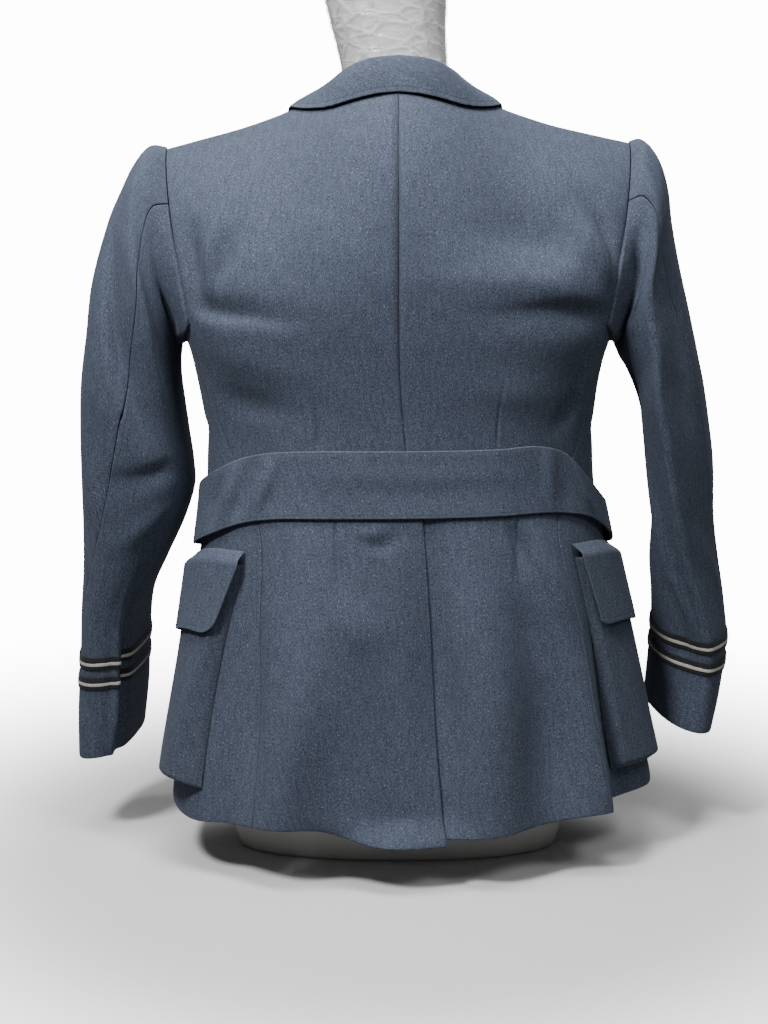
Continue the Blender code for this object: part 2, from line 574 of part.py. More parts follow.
def sleeve(side, a, t):
    """The inner face of a sleeve: a smooth curve through its rings, from armhole to cuff."""
    a, t = np.broadcast_arrays(np.asarray(a, float), np.asarray(t, float))
    a = a % 1.0
    hang = SLEEVE_GAP * np.sin(np.pi * a) ** 8
    rings = [armhole(side, a) + points(side * SLEEVE_GAP, 0.0, -hang)]
    rings += [sleeve_ring(side, row, a) for row in SLEEVES[side]]
    rings = np.array(rings)
    slopes = np.gradient(rings, axis=0)
    last = len(rings) - 1
    place = np.clip(t, 0, 1) * last
    i = np.clip(place.astype(int), 0, last - 1)
    f = (place - i)[..., None]
    pick = np.indices(i.shape)
    here, after = (i, *pick), (i + 1, *pick)
    return (
        (1 + 2 * f) * (1 - f) ** 2 * rings[here]
        + f * (1 - f) ** 2 * slopes[here]
        + f * f * (3 - 2 * f) * rings[after]
        + f * f * (f - 1) * slopes[after]
    )


def sleeve_normal(side, a, t):
    return normals_of(lambda p, q: sleeve(side, p, q), a, t, 0.0, 1.0, -side)


def cuff_distance(side):
    """Distances up from the sleeve's edge, and the t at each."""
    t = np.linspace(0.7, 1.0, 61)
    centre = (sleeve(side, 0.0, t) + sleeve(side, 0.5, t)) / 2
    lengths = np.linalg.norm(np.diff(centre, axis=0), axis=-1)
    from_cuff = np.concatenate([np.cumsum(lengths[::-1])[::-1], [0.0]])
    return from_cuff[::-1], t[::-1]


def t_above_cuff(side, distance):
    return float(np.interp(distance, *cuff_distance(side)))


def sleeve_rows(side):
    """Rows of the sleeve's walls, with one at each edge of the braid."""
    cap = np.array([0.0, 0.03, 0.065, 0.10, 0.14, 0.18, 0.23])
    arm = np.linspace(0.28, 0.80, 11)
    bands = [t_above_cuff(side, foot + rise) for foot in BRAID_FEET[side] for rise in (0.0, BRAID_WIDTH)]
    return np.concatenate([cap, arm, sorted(bands), [0.96, 1.0]])


def sleeve_panel(side, part):
    """The top or the under half of a two-piece sleeve."""

    def place(c, t):
        hind = read(HIND_SEAM, SIDE_NAME[side], t)
        start, end = (FORE_SEAM - 1, hind) if part == "top" else (hind, FORE_SEAM)
        gap = SEAM_GAP * 1.5
        a = start + gap + (end - start - 2 * gap) * c
        normal = sleeve_normal(side, a, t)
        return sleeve(side, a, t) + normal * CLOTH, normal

    return place


def braid_band(side, foot):
    """A flat band of braid round the cuff, on the same columns as the sleeve."""

    def place(c, rise):
        t = t_above_cuff(side, foot) + rise * (t_above_cuff(side, foot + BRAID_WIDTH) - t_above_cuff(side, foot))
        hind = read(HIND_SEAM, SIDE_NAME[side], t)
        top = FORE_SEAM - 1 + (hind - FORE_SEAM + 1) * np.clip(c, 0, 1)
        under = hind + (FORE_SEAM - hind) * np.clip(c - 1, 0, 1)
        a = np.where(c <= 1, top, under)
        normal = sleeve_normal(side, a, t)
        return sleeve(side, a, t) + normal * (CLOTH + REST_GAP + BRAID), normal

    return place


def belt_point(side, s, h, lift=0.0):
    """A point of the belt: h runs from its foot to its top."""
    name = SIDE_NAME[side]
    foot, top = read(BELT, "foot_" + name, s), read(BELT, "top_" + name, s)
    v = height_to_v(side, s, foot + (top - foot) * h)
    normal = torso_normal(side, s, v)
    out = read(BELT, "off_" + name, s) + front_lift(LEFT, s) + BELT_CLOTH + lift
    return torso(side, s, v) + normal * out[..., None], normal


def belt_strip(p, h):
    """The whole belt, from its right end round the back to its left end."""
    left, left_normal = belt_point(LEFT, np.maximum(p, 0) * BELT_END_S, h)
    right, right_normal = belt_point(RIGHT, np.maximum(-p, 0) * BELT_END_S, h)
    is_left = (p >= 0)[..., None]
    return np.where(is_left, left, right), np.where(is_left, left_normal, right_normal)


def belt_tip(c, h):
    """The free end of the belt, lying back over the wearer's left side past the buckle."""
    s = BELT_TIP_S[1] + (BELT_TIP_S[0] - BELT_TIP_S[1]) * c
    narrow = 0.06 + 0.30 * np.maximum(c - 0.72, 0) / 0.28
    h = narrow + (1 - 2 * narrow) * h
    return belt_point(LEFT, s, h, BELT_CLOTH + REST_GAP)


def bag_height(pocket, c, d):
    """How far the face of a bag stands out: least at the top and the front, most at the rear foot."""
    out = pocket.out_top + (pocket.out_foot - pocket.out_top) * ease(d)
    return out + (pocket.out_front - out) * ease((c - 0.05) / 0.65)


def sag(c):
    """How far the pocket's top dips towards the front, under the belt."""
    return FLAP_SAG * ease((c - FLAP_SAG_START) / (1 - FLAP_SAG_START))


def lean(pocket, c, d):
    """How far the pocket's rear edge leans towards the front on its way down."""
    return pocket.lean * np.sin(np.pi / 2 * d) * (1 - c)


def pocket_bag(side):
    """A bellows bag: gussets stand out of the panel on three sides, and the face spans them."""
    pocket = POCKETS[side]

    def place(c, d):
        z = pocket.top_z - sag(c) * (1 - d) + (pocket.foot_z - pocket.top_z) * d
        sideways = np.interp(c, POCKET_COLUMNS[:3], (0.0, 0.5, 1.0))
        sideways = np.minimum(sideways, np.interp(c, POCKET_COLUMNS[-3:], (1.0, 0.5, 0.0)))
        footways = np.interp(d, POCKET_ROWS[-3:], (1.0, 0.5, 0.0))
        s = pocket.back_s + (pocket.front_s - pocket.back_s) * c
        s = s + lean(pocket, c, d) * (LEAN_AT_BASE + (1 - LEAN_AT_BASE) * sideways * footways)
        v = height_to_v(side, s, z)
        normal = torso_normal(side, s, v)
        base = POCKET_BASE[side] + POCKET_FOOT_BASE * ease((d - 0.8) / 0.2)
        raised = base + (bag_height(pocket, c, d) - base) * sideways * footways
        return torso(side, s, v) + normal * raised[..., None], normal

    return place


def pocket_flap(side):
    """The flap, over the top of the bag and rounded at its lower corners."""
    pocket = POCKETS[side]

    def place(c, d):
        s = pocket.back_s - FLAP_OVERHANG_S + (pocket.front_s - pocket.back_s + 2 * FLAP_OVERHANG_S) * c
        width = 0.20
        from_end = np.minimum(c, 1 - c) * width
        corner = FLAP_CORNER - np.sqrt(np.maximum(FLAP_CORNER**2 - np.maximum(FLAP_CORNER - from_end, 0) ** 2, 0))
        z = pocket.top_z + FLAP_RISE - sag(c) - (FLAP_RISE + FLAP_DROP - corner) * d
        down = np.clip((pocket.top_z - z) / (pocket.top_z - pocket.foot_z), 0, 1)
        s = s + lean(pocket, c, down)
        out = bag_height(pocket, c, down)
        lay = CLOTH + 3 * REST_GAP
        v = height_to_v(side, s, z)
        normal = torso_normal(side, s, v)
        raised = lay + (out + FLAP_CLEAR) * ease((d + 0.02) / 0.18)
        return torso(side, s, v) + normal * raised[..., None], normal

    return place


def make_guide(side):
    """The torso of one side as a search tree, for what is laid on it."""
    s_stops = np.concatenate([np.linspace(-0.02, SEAMS[-1].side_back, 40), np.linspace(SEAMS[-1].side_front, 1.03, 40)])
    v_stops = TORSO_ROWS
    s, v = np.meshgrid(s_stops, v_stops, indexing="ij")
    normal = torso_normal(side, s, v)
    grid = torso(side, s, v) + normal * front_lift(side, s)[..., None]
    rows = len(v_stops)
    faces = [
        (i * rows + j, (i + 1) * rows + j, (i + 1) * rows + j + 1, i * rows + j + 1)
        for i in range(len(s_stops) - 1)
        for j in range(rows - 1)
        if i != 39
    ]
    return BVHTree.FromPolygons([Vector(p) for p in grid.reshape(-1, 3)], faces)


def laid_on(guide, spots, lift):
    """Spots moved to the nearest place on the torso, then out by the lift."""
    laid = []
    for spot in spots.reshape(-1, 3):
        place, normal, _, _ = guide.find_nearest(Vector(spot))
        away = normal if normal.dot(place - Vector((0.0, 0.0, place.z - 0.03))) > 0 else -normal
        laid.append(place + away * lift)
    return np.array([tuple(p) for p in laid]).reshape(spots.shape)


def lapel(side, guide):
    """The turned-back edge of the front, from the break of the fold to the gorge."""

    def spots(c, d):
        roll_z = BREAK_Z + 0.010 + (GORGE_Z - BREAK_Z - 0.010) * d
        roll = roll_x(roll_z) - 0.0015
        edge_z = BREAK_Z + 0.006 + (LAPEL_CORNER_Z - BREAK_Z - 0.006) * d
        edge_x = -FRONT_LAP + 0.006 + (LAPEL_CORNER_X + FRONT_LAP - 0.006) * d + LAPEL_BELLY * np.sin(np.pi * d)
        x = roll + (edge_x - roll) * c
        z = roll_z + (edge_z - roll_z) * c
        hits = []
        lift = LAPEL_LIFT * (0.45 + 0.55 * np.broadcast_to(c, np.shape(x)))
        for one_x, one_z, one_lift in zip(np.ravel(x), np.ravel(z), np.ravel(lift)):
            hit, normal, _, _ = guide.ray_cast(Vector((side * one_x, -0.5, one_z)), Vector((0.0, 1.0, 0.0)))
            normal = normal if normal.y < 0 else -normal
            hits.append(hit + normal * one_lift)
        return np.array([tuple(h) for h in hits]).reshape(*np.shape(x), 3)

    def place(c, d):
        here = spots(c, d)
        reach = 0.004
        along_c = spots(np.minimum(c + reach, 1), d) - spots(np.maximum(c - reach, 0), d)
        along_d = spots(c, np.minimum(d + reach, 1)) - spots(c, np.maximum(d - reach, 0))
        normal = unit(np.cross(along_c, along_d))
        normal = normal * -np.sign(normal[..., 1:2])
        return here + normal * CLOTH, normal

    return place


def collar_line(kind, p):
    """The collar's fold or outer edge: p runs from the right end (-1) to the left end (1)."""
    rows = [(i / (len(COLLAR) - 1), *row) for i, row in enumerate(COLLAR)]
    Row = namedtuple("Row", "p " + " ".join(Collar._fields))
    table = [Row(*r) for r in rows]
    q = np.abs(p)
    x = read(table, kind + "_x", q) * np.sign(p)
    return points(x, read(table, kind + "_y", q), read(table, kind + "_z", q))


def collar_fall(guides):
    """The fall of the collar, from its fold down to the edge that lies on the shoulders."""

    def spots(p, d):
        fold_line, edge = collar_line("fold", p), collar_line("edge", p)
        left = laid_on(guides[LEFT], edge, COLLAR_LIFT)
        right = laid_on(guides[RIGHT], edge, COLLAR_LIFT)
        edge = np.where((p >= 0)[..., None], left, right)
        across = np.maximum(np.asarray(d, float), 0)[..., None]
        outward = unit(points(fold_line[..., 0], fold_line[..., 1], 1.2 * np.hypot(*fold_line[..., :2].T).T))
        free = fold_line + (edge - fold_line) * across + COLLAR_BULGE * np.sin(np.pi * across) * outward
        at_end = np.abs(p)
        notch = NOTCH_DROP * np.interp(d, (0, NOTCH_SHARE, 1), (0, 1, 0)) * ease((at_end - 0.80) / 0.2)
        free = free - points(0.0, 0.0, notch)
        laid = free.copy()
        for i in np.ndindex(laid.shape[:-1]):
            if at_end[i] > 0.7:
                guide = guides[LEFT if p[i] > 0 else RIGHT]
                hit, normal, _, _ = guide.ray_cast(Vector((free[i][0], -0.5, free[i][2])), Vector((0, 1, 0)))
                if hit:
                    laid[i] = hit + normal * (COLLAR_LIFT if normal.y < 0 else -COLLAR_LIFT)
        settle = ease((at_end - 0.70) / 0.25)[..., None]
        turned = np.minimum(np.asarray(d, float), 0)[..., None] * points(outward[..., 0], outward[..., 1], 0.6)
        return free + (laid - free) * settle + turned * COLLAR_TURN

    def place(p, d):
        here = spots(p, d)
        reach = 0.01
        along_p = spots(np.minimum(p + reach, 1), d) - spots(np.maximum(p - reach, -1), d)
        along_d = spots(p, np.minimum(d + reach, 1)) - spots(p, np.maximum(d - reach, COLLAR_ROWS[0]))
        normal = unit(np.cross(along_d, along_p))
        return here, normal

    return place


def collar_stand(p, d):
    """The stand of the collar, inside the fall, from the fold down to the neck seam."""
    fold_line = collar_line("fold", p)
    turn = np.pi / 2 * np.minimum(np.abs(p) / 0.62, 1)
    places = [column_place(True, NECK_X * abs(math.sin(one))) for one in turn]
    sides = [LEFT if one >= 0 else RIGHT for one in p]
    seam = np.array([torso(side, np.array(s), np.array(2.0)) for side, s in zip(sides, places)])
    inward = -unit(points(fold_line[..., 0], fold_line[..., 1] - 0.01, 0.0))
    foot = seam + inward * COLLAR_STAND_FOOT[0] + points(0.0, 0.0, COLLAR_STAND_FOOT[1])
    head = fold_line + inward * COLLAR_STAND_LIFT - points(0.0, 0.0, 0.0025)
    d = np.asarray(d, float)[..., None]
    return head + (foot - head) * d, -inward


def clear_scene():
    for old in list(bpy.data.objects):
        bpy.data.objects.remove(old, do_unlink=True)


def paint(name):
    """One material for each finish, made the first time that it is asked for."""
    found = bpy.data.materials.get(name)
    if found:
        return found
    made = bpy.data.materials.new(name)
    made.use_nodes = True
    shader = made.node_tree.nodes["Principled BSDF"]
    shader.inputs["Base Color"].default_value = (*PAINTS[name].colour, 1.0)
    shader.inputs["Roughness"].default_value = PAINTS[name].roughness
    shader.inputs["Metallic"].default_value = PAINTS[name].metallic
    return made


def add_object(name, data, finish, collection):
    data.materials.append(paint(finish))
    made = bpy.data.objects.new(name, data)
    collection.objects.link(made)
    return made


def mesh_from(bm, name):
    bmesh.ops.recalc_face_normals(bm, faces=bm.faces)
    if bm.calc_volume(signed=True) < 0:
        bmesh.ops.reverse_faces(bm, faces=bm.faces)
    mesh = bpy.data.meshes.new(name)
    bm.to_mesh(mesh)
    bm.free()
    mesh.shade_smooth()
    mesh.set_sharp_from_angle(angle=math.radians(45))
    return mesh


def pleated(name, place, across, up, thickness, finish, collection):
    """A sheet with sharp turns: a grid moved onto its surface, then thickened evenly inwards."""
    bm = bmesh.new()
    bmesh.ops.create_grid(bm, x_segments=len(across) - 1, y_segments=len(up) - 1, size=0.5)
    share = np.array([(v.co.x + 0.5, v.co.y + 0.5) for v in bm.verts])
    steps = np.rint(share * (len(across) - 1, len(up) - 1)).astype(int)
    outer, normal = place(across[steps[:, 0]], up[steps[:, 1]])
    for vertex, spot in zip(bm.verts, outer):
        vertex.co = spot
    bm.normal_update()
    if sum(face.normal.dot(Vector(normal[face.verts[0].index])) for face in bm.faces) < 0:
        bmesh.ops.reverse_faces(bm, faces=bm.faces)
    mesh = bpy.data.meshes.new(name)
    bm.to_mesh(mesh)
    bm.free()
    mesh.shade_smooth()
    made = add_object(name, mesh, finish, collection)
    solidify = made.modifiers.new("thickness", "SOLIDIFY")
    solidify.thickness = thickness
    solidify.offset = -1.0
    solidify.use_even_offset = True
    solidify.use_quality_normals = True
    return made


def wall(name, place, across, up, thickness, finish, collection, closed=False):
    """A sheet of cloth: a grid moved onto its surface, then thickened inwards."""
    bm = bmesh.new()
    bmesh.ops.create_grid(bm, x_segments=len(across) - 1, y_segments=len(up) - 1, size=0.5)
    share = np.array([(v.co.x + 0.5, v.co.y + 0.5) for v in bm.verts])
    steps = np.rint(share * (len(across) - 1, len(up) - 1)).astype(int)
    outer, normal = place(across[steps[:, 0]], up[steps[:, 1]])
    number = bm.verts.layers.int.new("number")
    for i, vertex in enumerate(bm.verts):
        vertex.co = outer[i]
        vertex[number] = i
    if closed:
        bmesh.ops.remove_doubles(bm, verts=bm.verts[:], dist=1e-6)
    made = bmesh.ops.extrude_face_region(bm, geom=bm.faces[:], use_keep_orig=True)
    for item in made["geom"]:
        if isinstance(item, bmesh.types.BMVert):
            item.co = outer[item[number]] - normal[item[number]] * thickness
    return add_object(name, mesh_from(bm, name), finish, collection)


def form_ring(v, columns):
    """One ring of the form at v: as plain as the body table below the underarm."""
    side, s, kind = (np.array(column) for column in zip(*columns))
    if v <= 1:
        z = FORM_FOOT_Z + (UNDERARM_Z - FORM_FOOT_Z) * v
        ahead = section(side, s + STEP, z) - section(side, s - STEP, z)
        out = unit(points(ahead[..., 1], -ahead[..., 0], 0.0)) * -side[:, None]
        return section(side, s, z) - out * read(FORM_INSET, "depth", z)
    back_s, front_s = SEAMS[-1].side_back, SEAMS[-1].side_front
    share = np.where(kind == "arm", (s - back_s) / (front_s - back_s), 0.0)
    place = np.zeros((len(s), 3))
    for end_s, weight in ((np.where(kind == "arm", back_s, s), 1 - share), (np.full(len(s), front_s), share)):
        at, out = np.zeros((len(s), 3)), np.zeros((len(s), 3))
        for one in (LEFT, RIGHT):
            mine = side == one
            at[mine] = torso(one, end_s[mine], v, NECK_CUT_FRONT)
            out[mine] = torso_normal(one, end_s[mine], v)
        on_seam = (v >= 2) & (np.abs(at[:, 0]) > NECK_X - STEP)
        out[on_seam] = (0.0, 0.0, 1.0)
        near = float(ease((v - 1) / 0.85))
        last = np.where(s < 0.5, FORM_BACK_INSET, FORM_FRONT_INSET)
        last = np.where(on_seam, FORM_BACK_INSET, last)
        last = np.where(np.abs(at[:, 0]) < NECK_X - STEP, np.maximum(last, FORM_NECK_INSET * ease((v - 1.6) / 0.3)), last)
        depth = FORM_INSET[-1].depth + (last - FORM_INSET[-1].depth) * near
        place = place + weight[:, None] * (at - out * depth[:, None])
    return place


def dress_form(collection):
    """A smooth limbless body: rings up to the shoulder seam, which closes, and a neck above it."""
    arm_s = np.linspace(SEAMS[-1].side_back, SEAMS[-1].side_front, FORM_ARM_COLUMNS + 2)[1:-1]
    half = [("back", column_place(True, x)) for x in TOP_XS]
    half += [("arm", s) for s in arm_s]
    half += [("front", column_place(False, x)) for x in TOP_XS[::-1]]
    columns = [(LEFT, s, kind) for kind, s in half]
    columns += [(RIGHT, s, kind) for kind, s in half[::-1][1:-1]]
    levels = list(np.array([0.0, 0.02, 0.10, 0.22, 0.34, 0.46, 0.58, 0.68, 0.78, 0.88, 1.0])) + list(HIGH_ROWS[1:])
    rings = [form_ring(v, columns) for v in levels]
    rings[0][:, :2] *= 0.975
    bm = bmesh.new()
    bmesh.ops.create_grid(bm, x_segments=len(columns), y_segments=len(levels) - 1, size=0.5)
    for vertex in bm.verts:
        i = round((vertex.co.x + 0.5) * len(columns)) % len(columns)
        j = round((vertex.co.y + 0.5) * (len(levels) - 1))
        vertex.co = rings[j][i]
    bmesh.ops.remove_doubles(bm, verts=bm.verts[:], dist=1e-5)
    open_edges = [e for e in bm.edges if e.is_boundary]
    foot = [e for e in open_edges if max(v.co.z for v in e.verts) < 0.1]
    neck = [e for e in open_edges if e not in foot]
    bmesh.ops.holes_fill(bm, edges=foot)
    for row in FORM_NECK:
        made = bmesh.ops.extrude_edge_only(bm, edges=neck)["geom"]
        for vertex in [item for item in made if isinstance(item, bmesh.types.BMVert)]:
            angle = math.atan2(vertex.co.x, vertex.co.y - 0.002)
            depth = row.back if math.cos(angle) > 0 else row.front
            vertex.co = (row.centre_x + row.half_width * math.sin(angle), depth * math.cos(angle), row.z)
        neck = [item for item in made if isinstance(item, bmesh.types.BMEdge) and item.is_boundary]
    bmesh.ops.holes_fill(bm, edges=neck)
    return add_object("dress_form", mesh_from(bm, "dress_form"), "form", collection)


def first_hit(made, x, z):
    """Where a line from the front first meets a finished piece, and which way it faces."""
    tree = BVHTree.FromPolygons([v.co for v in made.data.vertices], [tuple(f.vertices) for f in made.data.polygons])
    hit, normal, _, _ = tree.ray_cast(Vector((x, -0.5, z)), Vector((0.0, 1.0, 0.0)))
    return hit, normal


def button(name, front, z, collection):
    """A domed button near the edge of the left front."""
    hem_x = float(torso(LEFT, np.array(1.0), np.array(0.3))[0])
    x = hem_x * max(0.0, (UNDERARM_Z - z) / UNDERARM_Z)
    hit, normal = first_hit(front, x, z)
    bm = bmesh.new()
    bmesh.ops.create_uvsphere(bm, u_segments=14, v_segments=6, radius=BUTTON_RADIUS)
    for vertex in bm.verts:
        vertex.co.z *= BUTTON_DEPTH / 2 / BUTTON_RADIUS
    made = add_object(name, mesh_from(bm, name), "gilt", collection)
    made.location = hit + normal * (REST_GAP + BUTTON_DEPTH / 2)
    made.rotation_mode = "QUATERNION"
    made.rotation_quaternion = normal.to_track_quat("Z", "Y")
    return made


def wire_mesh(name, line, radius, cyclic, finish, collection):
    """A round bar along a line of points."""
    curve = bpy.data.curves.new(name, "CURVE")
    curve.dimensions = "3D"
    curve.bevel_depth = radius
    curve.bevel_resolution = 2
    curve.use_fill_caps = not cyclic
    spline = curve.splines.new("POLY")
    spline.points.add(len(line) - 1)
    for point, place in zip(spline.points, line):
        point.co = (*place, 1.0)
    spline.use_cyclic_u = cyclic
    return add_object(name, curve, finish, collection)


def buckle(tip, collection):
    """A plain frame over the belt's join, and its prong."""
    middle = belt_point(LEFT, np.array(0.999), np.array(0.5))[0]
    hit, normal = first_hit(tip, middle[0], middle[2])
    centre = hit + normal * (REST_GAP + BUCKLE_WIRE)
    sideways = Vector((0.0, 0.0, 1.0)).cross(normal).normalized()
    upward = normal.cross(sideways)
    corner_radius, steps = 0.008, 4
    line = []
    for k, (right, up) in enumerate(((1, 1), (-1, 1), (-1, -1), (1, -1))):
        hub = (right * (BUCKLE_HALF_WIDTH - corner_radius), up * (BUCKLE_HALF_HEIGHT - corner_radius))
        for step in range(steps + 1):
            turn = math.pi / 2 * (k + step / steps)
            across, rise = hub[0] + corner_radius * math.cos(turn), hub[1] + corner_radius * math.sin(turn)
            line.append(centre + sideways * across + upward * rise)
    wire_mesh("belt_buckle", line, BUCKLE_WIRE, True, "gilt", collection)
    reach = BUCKLE_HALF_WIDTH - BUCKLE_WIRE - REST_GAP
    prong = [centre + sideways * (reach * share) for share in (-1.0, 0.0, 1.0)]
    wire_mesh("buckle_prong", prong, 0.0016, False, "gilt", collection)


def centre_over_foot(collection):
    """Slide everything so that the middle of its outline is over the origin."""
    bpy.context.view_layer.update()
    corners = [made.matrix_world @ Vector(corner) for made in collection.objects for corner in made.bound_box]
    low = [min(corner[k] for corner in corners) for k in (0, 1)]
    high = [max(corner[k] for corner in corners) for k in (0, 1)]
    shift = Vector((-(low[0] + high[0]) / 2, -(low[1] + high[1]) / 2, 0.0))
    for made in collection.objects:
        made.location += shift


def build():
    clear_scene()
    collection = bpy.data.collections.new("service_dress_jacket_on_form")
    bpy.context.scene.collection.children.link(collection)
    guides = {side: make_guide(side) for side in (LEFT, RIGHT)}
    back_stops = np.array([column_place(True, x) for x in TOP_XS]) / SEAMS[-1].side_back
    made = {}

    def add(name, place, across, up, thickness=CLOTH, finish="wool", closed=False):
        made[name] = wall(name, place, np.array(across), np.array(up), thickness, finish, collection, closed)

    for side in (LEFT, RIGHT):
        name = SIDE_NAME[side]
        rows = sleeve_rows(side)
        add("back_" + name, back_panel(side), back_stops, TORSO_ROWS)
        add("side_" + name, side_panel(side), SIDE_COLUMNS, LOW_ROWS)
        add("front_" + name, front_panel(side), FRONT_COLUMNS, TORSO_ROWS)
        add("lapel_" + name, lapel(side, guides[side]), np.linspace(0, 1, 6), np.linspace(LAPEL_FOOT[side], 1, 10))
        add("sleeve_top_" + name, sleeve_panel(side, "top"), TOP_SLEEVE_COLUMNS, rows)
        add("sleeve_under_" + name, sleeve_panel(side, "under"), UNDER_SLEEVE_COLUMNS, rows)
        round_cuff = np.concatenate([TOP_SLEEVE_COLUMNS[:-1], 1 + UNDER_SLEEVE_COLUMNS])
        for number, foot in enumerate(BRAID_FEET[side], 1):
            add(f"rank_braid_{name}_{number}", braid_band(side, foot), round_cuff, [0.0, 1.0], BRAID, "braid", True)
        bag = pocket_bag(side), np.array(POCKET_COLUMNS), np.array(POCKET_ROWS)
        pleated("pocket_" + name, *bag, CLOTH, "wool", collection)
        add("pocket_flap_" + name, pocket_flap(side), FLAP_COLUMNS, FLAP_ROWS)
    add("collar_fall", collar_fall(guides), np.linspace(-1, 1, 29), COLLAR_ROWS)
    add("collar_stand", collar_stand, np.linspace(-COLLAR_STAND_END, COLLAR_STAND_END, 19), np.linspace(0, 1, 3))
    add("belt", belt_strip, np.linspace(-1, 1, 61), [0.0, 0.5, 1.0], BELT_CLOTH)
    add("belt_tip", belt_tip, np.linspace(0, 1, 11), [0.0, 1.0], BELT_CLOTH)
    buckle(made["belt_tip"], collection)
    for number, z in enumerate(BUTTON_HEIGHTS, 1):
        button(f"button_{number}", made["front_left"], z, collection)
    dress_form(collection)
    centre_over_foot(collection)


build()
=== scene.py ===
# %% [markdown]
# # A belted service dress jacket on a dress form
# This file dresses a plain model of the jacket: finer cloth, creases, stitches and finishes.
# The plain model comes first, as the frame. Each piece of cloth here is made on the same
# surfaces as its plain solid, with many more rows, so that it can carry creases.
# Lengths are in metres. The wearer's front faces -Y and the wearer's left is +X.

# %% Load the frame
import math
from collections import namedtuple

import bmesh
import bpy
import numpy as np
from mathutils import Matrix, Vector
from mathutils.bvhtree import BVHTree


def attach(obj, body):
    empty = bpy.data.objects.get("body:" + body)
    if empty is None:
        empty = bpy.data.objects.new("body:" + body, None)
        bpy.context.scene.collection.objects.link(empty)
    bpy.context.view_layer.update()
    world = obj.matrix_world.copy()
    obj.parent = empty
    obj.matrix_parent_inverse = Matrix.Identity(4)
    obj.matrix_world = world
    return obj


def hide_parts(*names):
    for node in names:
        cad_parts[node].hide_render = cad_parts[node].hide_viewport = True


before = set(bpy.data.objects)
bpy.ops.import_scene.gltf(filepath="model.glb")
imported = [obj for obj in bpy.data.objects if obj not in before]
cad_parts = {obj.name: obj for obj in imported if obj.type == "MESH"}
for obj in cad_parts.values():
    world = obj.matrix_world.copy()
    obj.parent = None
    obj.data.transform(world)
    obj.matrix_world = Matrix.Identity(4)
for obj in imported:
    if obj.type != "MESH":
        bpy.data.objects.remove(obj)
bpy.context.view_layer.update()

BODY_NAME = "root"
LEFT, RIGHT = 1, -1
SIDE_NAME = {LEFT: "left", RIGHT: "right"}
DETAIL = 1.0

# %% [markdown]
# ## Smooth tables
# A tailor cuts from a few measures and a curve that joins them. The helpers here do the
# same: a short table of sizes is read anywhere between its rows on a smooth curve. A long
# list of points would hide which sizes matter, so the tables stay short.

# %% Read a table on a smooth curve
STEP = 1e-4


def read(table, column, place):
    keys = np.array([row[0] for row in table])
    values = np.array([getattr(row, column) for row in table])
    slopes = np.gradient(values, keys)
    place = np.clip(np.asarray(place, float), keys[0], keys[-1])
    i = np.clip(np.searchsorted(keys, place) - 1, 0, len(keys) - 2)
    width = keys[i + 1] - keys[i]
    f = (place - keys[i]) / width
    return (
        (1 + 2 * f) * (1 - f) ** 2 * values[i]
        + f * (1 - f) ** 2 * width * slopes[i]
        + f * f * (3 - 2 * f) * values[i + 1]
        + f * f * (f - 1) * width * slopes[i + 1]
    )


def ease(f):
    f = np.clip(f, 0.0, 1.0)
    return f * f * (3 - 2 * f)


def power(value, exponent):
    return np.sign(value) * np.abs(value) ** exponent


def points(x, y, z):
    return np.stack(np.broadcast_arrays(x, y, z), axis=-1)


def unit(vectors):
    return vectors / np.maximum(np.linalg.norm(vectors, axis=-1, keepdims=True), 1e-12)


# %% [markdown]
# ## The torso's surface
# All the body panels of a jacket lie on one surface, and a seam only divides it. So the
# surface is made once, and is read at a place `s` round the body (0 at centre back, 1 at
# centre front) and a place `v` up it (0 at the hem, 1 at the underarm, 2 at the shoulder
# seam). Squared ellipses give the sections, and one cubic curve for each column carries
# them over the shoulder blades up to the shoulder seam.

# %% Sections of the body, seams and hem
CLOTH = 0.0018
BELT_CLOTH = 0.0028
BRAID = 0.0009
SEAM_GAP = 0.0006
REST_GAP = 0.0006
SLEEVE_GAP = 0.0016
UNDERARM_Z, UNDERARM_DIP = 0.560, 0.014
VENT_TOP_Z, VENT_TUCK_TOP_Z, VENT_TUCK = 0.372, 0.430, 0.0028
VENT_LAP, VENT_UNDERLAP = 0.012, 0.022
NECK_X, SHOULDER_X = 0.072, 0.237
FRONT_LAP, LAP_LIFT, BREAK_Z, ROLL_LEAN = 0.018, 0.0034, 0.600, 0.466

Section = namedtuple("Section", "z half_width back front square centre_x twist")
BODY = [
    Section(-0.010, 0.263, 0.160, 0.166, 0.86, -0.018, 6.5),
    Section(0.045, 0.262, 0.158, 0.166, 0.86, -0.018, 6.5),
    Section(0.150, 0.246, 0.150, 0.160, 0.86, -0.014, 6.0),
    Section(0.250, 0.230, 0.140, 0.154, 0.86, -0.010, 5.2),
    Section(0.330, 0.215, 0.129, 0.146, 0.85, -0.006, 4.2),
    Section(0.400, 0.204, 0.120, 0.139, 0.83, -0.003, 3.0),
    Section(0.450, 0.203, 0.119, 0.137, 0.80, -0.002, 1.8),
    Section(0.505, 0.209, 0.124, 0.138, 0.72, 0.000, 0.6),
    Section(0.560, 0.222, 0.131, 0.140, 0.62, 0.000, 0.0),
    Section(0.600, 0.228, 0.135, 0.140, 0.60, 0.000, 0.0),
]
Seam = namedtuple("Seam", "z side_back side_front")
SEAMS = [
    Seam(0.045, 0.222, 0.570),
    Seam(0.250, 0.232, 0.570),
    Seam(0.370, 0.242, 0.575),
    Seam(0.400, 0.265, 0.580),
    Seam(0.430, 0.308, 0.590),
    Seam(0.460, 0.345, 0.600),
    Seam(0.500, 0.372, 0.615),
    Seam(0.530, 0.370, 0.630),
    Seam(0.560, 0.356, 0.640),
]
Hem = namedtuple("Hem", "s left right")
